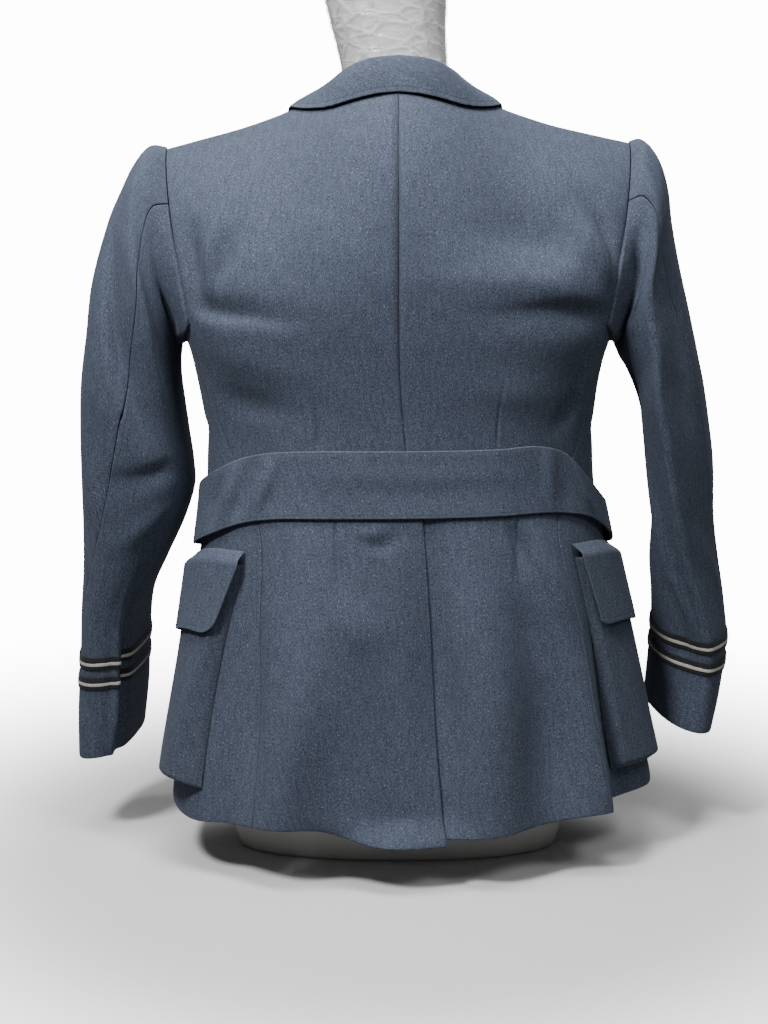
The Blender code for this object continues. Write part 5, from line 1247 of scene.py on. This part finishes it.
GUIDES = {side: make_guide(side) for side in (LEFT, RIGHT)}


def grid_normal(grid, outward):
    """Directions out of a grid of places, turned to agree with a rough outward direction."""
    normal = unit(np.cross(np.gradient(grid, axis=0), np.gradient(grid, axis=1)))
    return normal * np.sign((normal * outward).sum(axis=-1, keepdims=True).mean() + 1e-12)


# %% Make the lapels
GORGE_Z, LAPEL_CORNER_X, LAPEL_CORNER_Z = 0.757, 0.126, 0.716
LAPEL_BELLY, LAPEL_LIFT = 0.008, 0.0026
LAPEL_FOOT = {LEFT: 0.05, RIGHT: 0.23}
EDGE_STITCH = 0.0050


def lapel(side):
    def place(c, d):
        roll_z = BREAK_Z + 0.010 + (GORGE_Z - BREAK_Z - 0.010) * d
        roll = roll_x(roll_z) - 0.0015
        edge_z = BREAK_Z + 0.006 + (LAPEL_CORNER_Z - BREAK_Z - 0.006) * d
        edge_x = -FRONT_LAP + 0.006 + (LAPEL_CORNER_X + FRONT_LAP - 0.006) * d + LAPEL_BELLY * np.sin(np.pi * d)
        x, z = roll + (edge_x - roll) * c, roll_z + (edge_z - roll_z) * c
        lift = LAPEL_LIFT * (0.45 + 0.55 * c) + CLOTH
        laid = np.zeros((*x.shape, 3))
        for i in np.ndindex(x.shape):
            hit, normal, _, _ = GUIDES[side].ray_cast(Vector((side * x[i], -0.5, z[i])),
                    Vector((0.0, 1.0, 0.0)))
            laid[i] = hit + (normal if normal.y < 0 else -normal) * lift[i]
        return laid, grid_normal(laid, np.array((0.0, -1.0, 0.0)))

    return place


for side in (LEFT, RIGHT):
    name = SIDE_NAME[side]
    rows = LAPEL_FOOT[side] + (1 - LAPEL_FOOT[side]) * stops(60, 0.18, grooves=[EDGE_STITCH])
    turned = cloth(f"lapel_{name}_cloth", lapel(side), stops(30, 0.09, grooves=[EDGE_STITCH]), rows,
            grooves=[EDGE_STITCH])
    dress(turned, TRIM_WOOL, ["lapel_" + name])

# %% Places of the collar
Collar = namedtuple("Collar", "p fold_x fold_y fold_z edge_x edge_y edge_z")
COLLAR = [
    Collar(0 / 6, 0.000, 0.0670, 0.8245, 0.000, 0.0840, 0.7930),
    Collar(1 / 6, 0.030, 0.0640, 0.8215, 0.042, 0.0790, 0.7880),
    Collar(2 / 6, 0.053, 0.0480, 0.8140, 0.074, 0.0640, 0.7810),
    Collar(3 / 6, 0.066, 0.0230, 0.8060, 0.098, 0.0360, 0.7780),
    Collar(4 / 6, 0.072, -0.0060, 0.7970, 0.112, 0.0000, 0.7750),
    Collar(5 / 6, 0.0665, -0.0340, 0.7820, 0.116, -0.0380, 0.7640),
    Collar(6 / 6, 0.0555, -0.0620, 0.7610, 0.112, -0.0700, 0.7460),
]
COLLAR_BULGE, COLLAR_LIFT, COLLAR_TURN, COLLAR_RIGHT = 0.0030, 0.0044, 0.020, 0.95
NOTCH_DROP, NOTCH_SHARE = 0.0115, 0.70
COLLAR_STAND_LIFT, COLLAR_STAND_FOOT, COLLAR_STAND_END = 0.0036, (0.0008, 0.0007), 0.60


def collar_line(kind, p):
    q = np.abs(p)
    x = read(COLLAR, kind + "_x", q) * np.sign(p) * np.where((p < 0) & (kind == "edge"),
            COLLAR_RIGHT, 1.0)
    return points(x, read(COLLAR, kind + "_y", q), read(COLLAR, kind + "_z", q))


def laid_on(guide, spots, lift):
    laid = []
    for spot in spots.reshape(-1, 3):
        place, normal, _, _ = guide.find_nearest(Vector(spot))
        away = normal if normal.dot(place - Vector((0.0, 0.0, place.z - 0.03))) > 0 else -normal
        laid.append(place + away * lift)
    return np.array([tuple(p) for p in laid]).reshape(spots.shape)


def collar_fall(p, d):
    fold_line, edge = collar_line("fold", p), collar_line("edge", p)
    one_edge = edge[:, :1]
    left, right = laid_on(GUIDES[LEFT], one_edge, COLLAR_LIFT), laid_on(GUIDES[RIGHT], one_edge,
            COLLAR_LIFT)
    edge = np.where((p[:, :1] >= 0)[..., None], left, right)
    across = np.maximum(d, 0)[..., None]
    outward = unit(points(fold_line[..., 0], fold_line[..., 1],
            1.2 * np.hypot(fold_line[..., 0], fold_line[..., 1])))
    free = fold_line + (edge - fold_line) * across + COLLAR_BULGE * np.sin(np.pi * across) * outward
    at_end = np.abs(p)
    notch = NOTCH_DROP * np.interp(d, (0, NOTCH_SHARE, 1), (0, 1, 0)) * ease((at_end - 0.80) / 0.2)
    free = free - points(0.0, 0.0, notch)
    laid = free.copy()
    for i in np.ndindex(laid.shape[:-1]):
        if at_end[i] > 0.7:
            guide = GUIDES[LEFT if p[i] > 0 else RIGHT]
            hit, normal, _, _ = guide.ray_cast(Vector((free[i][0], -0.5, free[i][2])),
                    Vector((0, 1, 0)))
            if hit:
                laid[i] = hit + normal * (COLLAR_LIFT if normal.y < 0 else -COLLAR_LIFT)
    settle = ease((at_end - 0.70) / 0.25)[..., None]
    turned = np.minimum(d, 0)[..., None] * points(outward[..., 0], outward[..., 1], 0.6)
    here = free + (laid - free) * settle + turned * COLLAR_TURN
    return here, grid_normal(here, outward)


def collar_stand(p, d):
    fold_line = collar_line("fold", p)
    turn = np.pi / 2 * np.minimum(np.abs(p[:, 0]) / 0.62, 1)
    places = [column_place(NECK_X * abs(math.sin(one))) for one in turn]
    sides = [LEFT if one >= 0 else RIGHT for one in p[:, 0]]
    seam = np.array([torso(side, np.array(s), np.array(2.0)) for side, s in zip(sides, places)])[:,
            None]
    inward = -unit(points(fold_line[..., 0], fold_line[..., 1] - 0.01, 0.0))
    foot = seam + inward * COLLAR_STAND_FOOT[0] + points(0.0, 0.0, COLLAR_STAND_FOOT[1])
    head = fold_line + inward * COLLAR_STAND_LIFT - points(0.0, 0.0, 0.0025)
    return head + (foot - head) * d[..., None], -inward


def column_place(x_top):
    """The s of the back's column that ends x_top out along the neckline."""
    x_at_seam = abs(float(section(LEFT, np.array(SEAMS[-1].side_back), UNDERARM_Z)[0]))
    half_width, square = float(read(BODY, "half_width", UNDERARM_Z)), float(read(BODY, "square",
            UNDERARM_Z))
    share = min(x_top * x_at_seam / SHOULDER_X / half_width, 1.0)
    return math.asin(share ** (1 / square)) / math.pi


# %% Make the collar
collar_rows = stops(24, 0.045, grooves=[EDGE_STITCH], ends=(False, True)) * 1.08 - 0.08
fall = cloth("collar_fall_cloth", collar_fall, stops(170, 0.46) * 2 - 1, collar_rows,
        grooves=[EDGE_STITCH])
dress(fall, TRIM_WOOL, ["collar_fall"])
stand_columns = np.linspace(-COLLAR_STAND_END, COLLAR_STAND_END, int(80 * DETAIL))
stand = cloth("collar_stand_cloth", collar_stand, stand_columns, np.linspace(0, 1, 12))
# The stand wears the darker copy of the wool: shade painted into its colour.
dress(stand, PAINTED_SHADE_WOOL, ["collar_stand"])

# %% [markdown]
# ## The dress form
# The form is a smooth body on a flat foot. The plain model already has its shape, so a copy
# of it is made smooth with Subdivision, and its foot's edge is kept sharp by a crease.
# At the armholes the copy is drawn in by 4 mm. That was meant to clear a bright point at each
# armhole, but these are slits between sleeve and body, so it clears nothing.

# %% A glossy pale shell
def form_material():
    material = bpy.data.materials.new("pale_form_shell")
    material.use_nodes = True
    tree = material.node_tree
    shader = tree.nodes["Principled BSDF"]
    where = add_node(tree, "ShaderNodeTexCoord").outputs["Object"]
    soft = add_node(tree, "ShaderNodeTexNoise",
            inputs={"Vector": where, "Scale": 9.0, "Detail": 4.0}).outputs["Fac"]
    fine = add_node(tree, "ShaderNodeTexNoise",
            inputs={"Vector": where, "Scale": 420.0, "Detail": 2.0}).outputs["Fac"]
    colour = blend_colours(tree, soft, (0.66, 0.65, 0.62, 1.0), (0.80, 0.795, 0.775, 1.0))
    rough = calculate(tree, "MULTIPLY_ADD", soft, 0.25, 0.25)
    bumped = add_node(tree, "ShaderNodeBump", inputs={"Height": fine, "Strength": 0.2,
            "Distance": 0.0002})
    tree.links.new(colour, shader.inputs["Base Color"])
    tree.links.new(rough, shader.inputs["Roughness"])
    tree.links.new(bumped.outputs["Normal"], shader.inputs["Normal"])
    return material


# %% Make the form
FORM_ARM_X, FORM_ARM_INSET = 0.205, 0.004


def smooth_form():
    bm = bmesh.new()
    bm.from_mesh(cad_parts["dress_form"].data)
    bmesh.ops.remove_doubles(bm, verts=bm.verts[:], dist=1e-5)
    bmesh.ops.join_triangles(bm, faces=bm.faces[:], angle_face_threshold=0.6,
            angle_shape_threshold=0.9)
    crease = bm.edges.layers.float.new("crease_edge")
    for edge in bm.edges:
        if max(vertex.co.z for vertex in edge.verts) < 0.001:
            edge[crease] = 1.0
    for vertex in bm.verts:
        if abs(vertex.co.x - SLIDE[0]) > FORM_ARM_X and vertex.co.z > UNDERARM_Z - 0.02:
            vertex.co.x -= math.copysign(FORM_ARM_INSET, vertex.co.x)
    mesh = bpy.data.meshes.new("dress_form_shell")
    bm.to_mesh(mesh)
    bm.free()
    mesh.shade_smooth()
    made = bpy.data.objects.new("dress_form_shell", mesh)
    bpy.context.scene.collection.objects.link(made)
    smooth = made.modifiers.new("smooth", "SUBSURF")
    smooth.levels = smooth.render_levels = 2
    return made


dress(smooth_form(), form_material(), ["dress_form"])

# %% [markdown]
# The photograph shows clear film wound round the neck, as a form is covered to keep it clean.
# The film is a thin crinkled skin a hair off the neck: rays are cast at the neck to find it,
# and folds that run round and across it are added. Most of it is clear, and folds are whiter.

# %% Wind film round the neck
FILM_FROM, FILM_TO, FILM_GAP, FILM = 0.803, 0.9125, 0.0006, 0.0003
FILM_FOLDS = 26


def film_material():
    material = bpy.data.materials.new("clear_film")
    material.use_nodes = True
    tree = material.node_tree
    shader = tree.nodes["Principled BSDF"]
    place = add_node(tree, "ShaderNodeUVMap", uv_map="weave").outputs["UV"]
    wide = add_node(tree, "ShaderNodeMapping",
            inputs={"Vector": place, "Scale": (0.45, 1.0, 1.0), "Rotation": (0.0, 0.0, 0.4)})
    folds = add_node(tree, "ShaderNodeTexNoise",
            inputs={"Vector": wide.outputs["Vector"], "Scale": 95.0, "Detail": 6.0,
                    "Distortion": 1.4})
    cells = add_node(tree, "ShaderNodeTexVoronoi", feature="DISTANCE_TO_EDGE",
            inputs={"Vector": wide.outputs["Vector"], "Scale": 70.0})
    edge = calculate(tree, "SUBTRACT", 1.0, calculate(tree, "MULTIPLY", cells.outputs["Distance"],
            9.0, clamp=True))
    white = calculate(tree, "MULTIPLY", calculate(tree, "SUBTRACT", folds.outputs["Fac"], 0.50),
            5.0, clamp=True)
    seen = calculate(tree, "MULTIPLY_ADD", calculate(tree, "MAXIMUM", white, edge), 0.42, 0.10)
    height = calculate(tree, "MULTIPLY_ADD", edge, 0.5, folds.outputs["Fac"])
    bumped = add_node(tree, "ShaderNodeBump", inputs={"Height": height, "Strength": 0.9,
            "Distance": 0.0015})
    tree.links.new(seen, shader.inputs["Alpha"])
    tree.links.new(bumped.outputs["Normal"], shader.inputs["Normal"])
    tree.links.new(calculate(tree, "MULTIPLY_ADD", folds.outputs["Fac"], 0.2, 0.02),
            shader.inputs["Roughness"])
    shader.inputs["Base Color"].default_value = (0.92, 0.93, 0.94, 1.0)
    shader.inputs["Coat Weight"].default_value = 1.0
    return material


def film(c, d):
    """Places of the film: c goes once round the neck, and d goes up it."""
    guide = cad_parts["dress_form"].data
    tree = BVHTree.FromPolygons([v.co for v in guide.vertices],
            [tuple(f.vertices) for f in guide.polygons])
    angle, z = 2 * np.pi * c, FILM_FROM + (FILM_TO - FILM_FROM) * d
    out = points(np.cos(angle), np.sin(angle), 0.0 * z)
    laid = np.zeros(out.shape)
    for i in np.ndindex(c.shape):
        far = Vector((*(SLIDE[:2] + 0.3 * out[i][:2]), z[i]))
        laid[i] = tree.ray_cast(far, -Vector(out[i]))[0]
    chance = np.random.default_rng(5)
    crinkle = np.zeros(c.shape)
    for _ in range(FILM_FOLDS):
        turns, climb, phase = chance.integers(2, 13), chance.uniform(-26, 26), chance.uniform(0,
                2 * np.pi)
        wave = np.abs(np.sin(turns * angle + climb * d + phase))
        crinkle = crinkle + (1 - wave) ** 3 * chance.uniform(0.3, 1.0)
    gap = FILM_GAP + FILM + 0.0011 * crinkle / crinkle.max()
    return laid - SLIDE + out * gap[..., None], out


wrap = cloth("neck_film", film, np.linspace(0, 1, int(180 * DETAIL)),
        np.linspace(0, 1, int(90 * DETAIL)), FILM, closed=True)
dress(wrap, film_material(), [])

# %% [markdown]
# ## Metal
# Buttons, buckle and prong are gilt brass. A button is a domed disc with a raised rim,
# turned from one profile. The buckle is a round bar bent to a frame.

# %% Gilt finish
def gilt_material():
    material = bpy.data.materials.new("gilt_brass")
    material.use_nodes = True
    tree = material.node_tree
    shader = tree.nodes["Principled BSDF"]
    where = add_node(tree, "ShaderNodeTexCoord").outputs["Object"]
    soft = add_node(tree, "ShaderNodeTexNoise",
            inputs={"Vector": where, "Scale": 160.0, "Detail": 5.0}).outputs["Fac"]
    tarnish = calculate(tree, "MULTIPLY", calculate(tree, "SUBTRACT", soft, 0.48), 4.0, clamp=True)
    colour = blend_colours(tree, tarnish, (0.80, 0.60, 0.27, 1.0), (0.50, 0.34, 0.13, 1.0))
    rough = calculate(tree, "MULTIPLY_ADD", soft, 0.30, 0.16)
    bumped = add_node(tree, "ShaderNodeBump", inputs={"Height": soft, "Strength": 0.15,
            "Distance": 0.0003})
    tree.links.new(colour, shader.inputs["Base Color"])
    tree.links.new(rough, shader.inputs["Roughness"])
    tree.links.new(bumped.outputs["Normal"], shader.inputs["Normal"])
    shader.inputs["Metallic"].default_value = 1.0
    return material


GILT = gilt_material()
BUTTON_PROFILE = [(0.0, 1.0), (0.30, 0.97), (0.58, 0.84), (0.76, 0.62), (0.83, 0.52), (0.90, 0.62),
        (0.97, 0.55),
                  (1.0, 0.30), (0.96, 0.05), (0.80, 0.0), (0.0, 0.0)]
BUTTON_RADIUS, BUTTON_DEPTH = 0.011, 0.0038


# %% Make the buttons
def turned_button(name, centre, normal):
    bm = bmesh.new()
    profile = [bm.verts.new((x * BUTTON_RADIUS, 0.0, (z - 0.5) * BUTTON_DEPTH)) for x,
            z in BUTTON_PROFILE]
    edges = [bm.edges.new(pair) for pair in zip(profile, profile[1:])]
    bmesh.ops.spin(bm, geom=profile + edges, cent=(0, 0, 0), axis=(0, 0, 1), angle=2 * math.pi,
            steps=48)
    bmesh.ops.remove_doubles(bm, verts=bm.verts[:], dist=1e-6)
    bmesh.ops.recalc_face_normals(bm, faces=bm.faces[:])
    turn = normal.to_track_quat("Z", "Y").to_matrix()
    for vertex in bm.verts:
        vertex.co = centre + turn @ vertex.co
    mesh = bpy.data.meshes.new(name)
    bm.to_mesh(mesh)
    bm.free()
    mesh.shade_smooth()
    made = bpy.data.objects.new(name, mesh)
    bpy.context.scene.collection.objects.link(made)
    return made


def facing(node):
    """The way a button's thin solid faces: out of the cloth."""
    co = np.array([v.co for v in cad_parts[node].data.vertices])
    middle = co.mean(axis=0)
    _, _, directions = np.linalg.svd(co - middle, full_matrices=False)
    out = Vector(directions[2])
    return Vector(middle), out if out.y < 0 else -out


for number in range(1, 5):
    middle, out = facing(f"button_{number}")
    button = turned_button(f"button_{number}_domed", middle + out * 0.0002, out)
    dress(button, GILT, [f"button_{number}"])
for node in ("belt_buckle", "buckle_prong"):
    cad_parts[node].data.materials.clear()
    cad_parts[node].data.materials.append(GILT)
    print(node, "keeps its shape and gets the gilt finish")

# %% [markdown]
# ## Stitches
# A machine stitch is a short thread that dips into the cloth at both ends. A row of them
# along an edge is what makes cloth read as sewn. They are small meshes along a line that
# runs a few millimetres inside the edge, in the groove that the cloth already has.

# %% A row of stitches along a line
STITCH_LENGTH, STITCH_GAP, THREAD_RADIUS = 0.0026, 0.0010, 0.00026
ROUND = 6
FLAP_ROW_GAP = 0.006


def stitch_row(name, line, normals):
    """One mesh of many stitches along a line of places, with the direction out of the cloth."""
    lengths = np.linalg.norm(np.diff(line, axis=0), axis=1)
    run = np.concatenate([[0.0], np.cumsum(lengths)])
    count = int(run[-1] / (STITCH_LENGTH + STITCH_GAP))
    shape = np.array([(-0.5, -1.6), (-0.42, 0.1), (-0.25, 0.8), (0.0, 1.0), (0.25, 0.8),
            (0.42, 0.1), (0.5, -1.6)])
    starts = (np.arange(count) + 0.5) * run[-1] / count
    verts, faces = [], []
    angles = np.arange(ROUND) * 2 * np.pi / ROUND
    for start in starts:
        base = len(verts)
        for share, rise in shape:
            at = start + share * STITCH_LENGTH
            centre = np.array([np.interp(at, run, line[:, k]) for k in range(3)])
            out = unit(np.array([np.interp(at, run, normals[:, k]) for k in range(3)]))
            ahead = np.array([np.interp(at + 0.0005, run, line[:, k]) - np.interp(at - 0.0005, run,
                    line[:, k]) for k in range(3)])
            across = unit(np.cross(out, ahead))
            centre = centre + out * (rise * THREAD_RADIUS * 0.7)
            for angle in angles:
                verts.append(centre + (across * math.cos(angle) + out * math.sin(angle)) * THREAD_RADIUS)
        for ring in range(len(shape) - 1):
            for k in range(ROUND):
                a, b = base + ring * ROUND + k, base + ring * ROUND + (k + 1) % ROUND
                faces.append((a, b, b + ROUND, a + ROUND))
        faces.append(tuple(base + k for k in range(ROUND))[::-1])
        faces.append(tuple(base + (len(shape) - 1) * ROUND + k for k in range(ROUND)))
    mesh = bpy.data.meshes.new(name)
    mesh.from_pydata([tuple(v) for v in verts], [], faces)
    bm = bmesh.new()
    bm.from_mesh(mesh)
    bmesh.ops.recalc_face_normals(bm, faces=bm.faces[:])
    bm.to_mesh(mesh)
    bm.free()
    mesh.shade_smooth()
    mesh.uv_layers.new(name="weave")
    made = bpy.data.objects.new(name, mesh)
    bpy.context.scene.collection.objects.link(made)
    dress(made, THREAD, [])
    print(name, count, "stitches")
    return made


def inset_line(place, across, up, inset, edges, sink=GROOVE_DEPTH):
    """A line that runs inset metres inside the named edges of a piece: its places and normals."""
    c, v = np.meshgrid(np.linspace(across[0], across[1], 160), np.linspace(up[0], up[1], 80),
            indexing="ij")
    grid, normal = place(c, v)
    _, width, length = edge_distance(grid, False)
    lines, outs = [], []
    for edge in edges:
        if edge in ("low", "high"):
            rows = range(grid.shape[0])
            wanted = [inset if edge == "low" else length[i, -1] - inset for i in rows]
            spots = [(i, np.interp(w, length[i], np.arange(grid.shape[1]))) for i,
                    w in zip(rows, wanted)]
            keep = [inset <= width[i, int(j)] <= width[-1, int(j)] - inset for i, j in spots]
            found = [[sample(g[i], j) for i, j in spots] for g in (grid, normal)]
        else:
            rows = range(grid.shape[1])
            wanted = [inset if edge == "first" else width[-1, j] - inset for j in rows]
            spots = [(np.interp(w, width[:, j], np.arange(grid.shape[0])), j) for j,
                    w in zip(rows, wanted)]
            keep = [inset <= length[int(i), j] <= length[int(i), -1] - inset for i, j in spots]
            found = [[sample(g[:, j], i) for i, j in spots] for g in (grid, normal)]
        lines.append(np.array(found[0])[keep])
        outs.append(unit(np.array(found[1])[keep]))
    line, out = np.concatenate(lines), np.concatenate(outs)
    return line - out * sink + SLIDE, out


def sample(row, place):
    """A row of places read between two of them."""
    low = int(min(place, len(row) - 2))
    return row[low] + (row[low + 1] - row[low]) * (place - low)


# %% Sew the edges
def sew(name, place, across, up, inset, edges):
    line, out = inset_line(place, across, up, inset, edges)
    return stitch_row(name, line, out)


sew("belt_stitches_top", belt_strip, (-1, 1), (0, 1), BELT_STITCH, ["high"])
sew("belt_stitches_foot", belt_strip, (-1, 1), (0, 1), BELT_STITCH, ["low"])
sew("collar_stitches", collar_fall, (-1, 1), (-0.08, 1), EDGE_STITCH, ["high"])
for side in (LEFT, RIGHT):
    name = SIDE_NAME[side]
    sew(f"flap_stitches_top_{name}", pocket_flap(side), (0, 1), (0, 1), FLAP_STITCH, ["low"])
    sew(f"flap_stitches_top_{name}_2", pocket_flap(side), (0, 1), (0, 1), FLAP_STITCH + FLAP_ROW_GAP,
            ["low"])
    sew(f"flap_stitches_round_{name}", pocket_flap(side), (0, 1), (0, 1), FLAP_STITCH, ["high"])
    sew(f"flap_stitches_rear_{name}", pocket_flap(side), (0, 1), (0, 1), FLAP_STITCH, ["first"])
    sew(f"front_stitches_{name}", front_panel(side), (0.8, 1), (0, 0.98), EDGE_STITCH, ["last"])
sew("vent_stitches", back_panel(LEFT), (0, 0.3), (0, vent_row - 0.004), EDGE_STITCH, ["first"])

# %% [markdown]
# ## Floor, light and camera
# The photograph is lit from above and a little from the wearer's left, on plain white. A small
# lamp high on that side does most of it, and a wide soft one overhead fills the shoulders.
# Two weaker ones, on the wearer's right and in front of the wearer, open the shadows.

# %% Floor and world
def floor_material():
    """Pale near the form, and fading into the bright wall behind, as a studio sweep does."""
    material = bpy.data.materials.new("pale_floor")
    material.use_nodes = True
    tree = material.node_tree
    shader = tree.nodes["Principled BSDF"]
    place = add_node(tree, "ShaderNodeNewGeometry").outputs["Position"]
    away = add_node(tree, "ShaderNodeVectorMath", operation="LENGTH",
            inputs={0: place}).outputs["Value"]
    fade = add_node(tree, "ShaderNodeMapRange", interpolation_type="SMOOTHSTEP", inputs={
        "Value": away, "From Min": FLOOR_FADE[0], "From Max": FLOOR_FADE[1]}).outputs["Result"]
    seen_here = add_node(tree, "ShaderNodeLightPath").outputs["Is Camera Ray"]
    near = blend_colours(tree, seen_here, (0.30, 0.30, 0.30, 1.0), (0.86, 0.86, 0.86, 1.0))
    colour = blend_colours(tree, fade, near, (0.0, 0.0, 0.0, 1.0))
    glow = calculate(tree, "MULTIPLY", calculate(tree, "MULTIPLY", fade, seen_here),
            WALL_BRIGHTNESS)
    white = add_node(tree, "ShaderNodeCombineXYZ",
            inputs={"X": glow, "Y": glow, "Z": glow}).outputs["Vector"]
    tree.links.new(colour, shader.inputs["Base Color"])
    tree.links.new(white, shader.inputs["Emission Color"])
    shader.inputs["Emission Strength"].default_value = 1.0
    shader.inputs["Roughness"].default_value = 0.85
    shader.inputs["Specular IOR Level"].default_value = 0.1
    return material


def make_floor():
    bm = bmesh.new()
    bmesh.ops.create_circle(bm, cap_ends=True, segments=96, radius=14.0)
    mesh = bpy.data.meshes.new("studio_floor")
    bm.to_mesh(mesh)
    bm.free()
    floor = bpy.data.objects.new("studio_floor", mesh)
    floor.location = (0, 0, -0.0006)
    bpy.context.scene.collection.objects.link(floor)
    mesh.materials.append(floor_material())
    return floor


WALL_BRIGHTNESS, ROOM_BRIGHTNESS = 14.0, 0.08
FLOOR_FADE = (0.35, 1.3)
make_floor()
world = bpy.data.worlds.new("studio")
world.use_nodes = True
seen = add_node(world.node_tree, "ShaderNodeLightPath").outputs["Is Camera Ray"]
brightness = calculate(world.node_tree, "MULTIPLY_ADD", seen, WALL_BRIGHTNESS - ROOM_BRIGHTNESS,
        ROOM_BRIGHTNESS)
world.node_tree.links.new(brightness, world.node_tree.nodes["Background"].inputs["Strength"])
world.node_tree.nodes["Background"].inputs["Color"].default_value = (1.0, 1.0, 1.0, 1.0)
bpy.context.scene.world = world


# %% Lamps
def add_lamp(name, place, target, size, power_watts, colour=(1.0, 1.0, 1.0)):
    light = bpy.data.lights.new(name, "AREA")
    light.shape = "RECTANGLE"
    light.size, light.size_y = size
    light.energy = power_watts
    light.color = colour
    lamp = bpy.data.objects.new(name, light)
    lamp.location = place
    lamp.rotation_euler = (Vector(target) - Vector(place)).to_track_quat("-Z", "Y").to_euler()
    bpy.context.scene.collection.objects.link(lamp)
    return lamp


add_lamp("overhead", (0.20, 0.45, 2.00), (0.0, 0.0, 0.60), (1.4, 0.5), 26)
add_lamp("high_left", (0.90, 1.35, 2.15), (0.0, 0.0, 0.45), (0.4, 0.4), 54)
add_lamp("high_right", (-0.9, 1.4, 1.9), (-0.1, 0.0, 0.70), (0.6, 0.5), 10)
add_lamp("front_fill", (-0.6, -2.2, 1.9), (0.0, 0.0, 0.5), (1.6, 1.4), 22)

# %% Camera at the photograph's angle
CAMERA_PLACE = (0.0145, 1.63, 0.5905)
CAMERA_DOWN = 8.0
CAMERA_LENS = 54.3
camera_data = bpy.data.cameras.new("camera")
camera_data.sensor_fit = "VERTICAL"
camera_data.sensor_height = 36.0
camera_data.lens = CAMERA_LENS
camera = bpy.data.objects.new("camera", camera_data)
camera.location = Vector(CAMERA_PLACE) + Vector(SLIDE)
camera.rotation_euler = (math.radians(90 - CAMERA_DOWN), 0.0, math.radians(180))
bpy.context.scene.collection.objects.link(camera)
bpy.context.scene.camera = camera
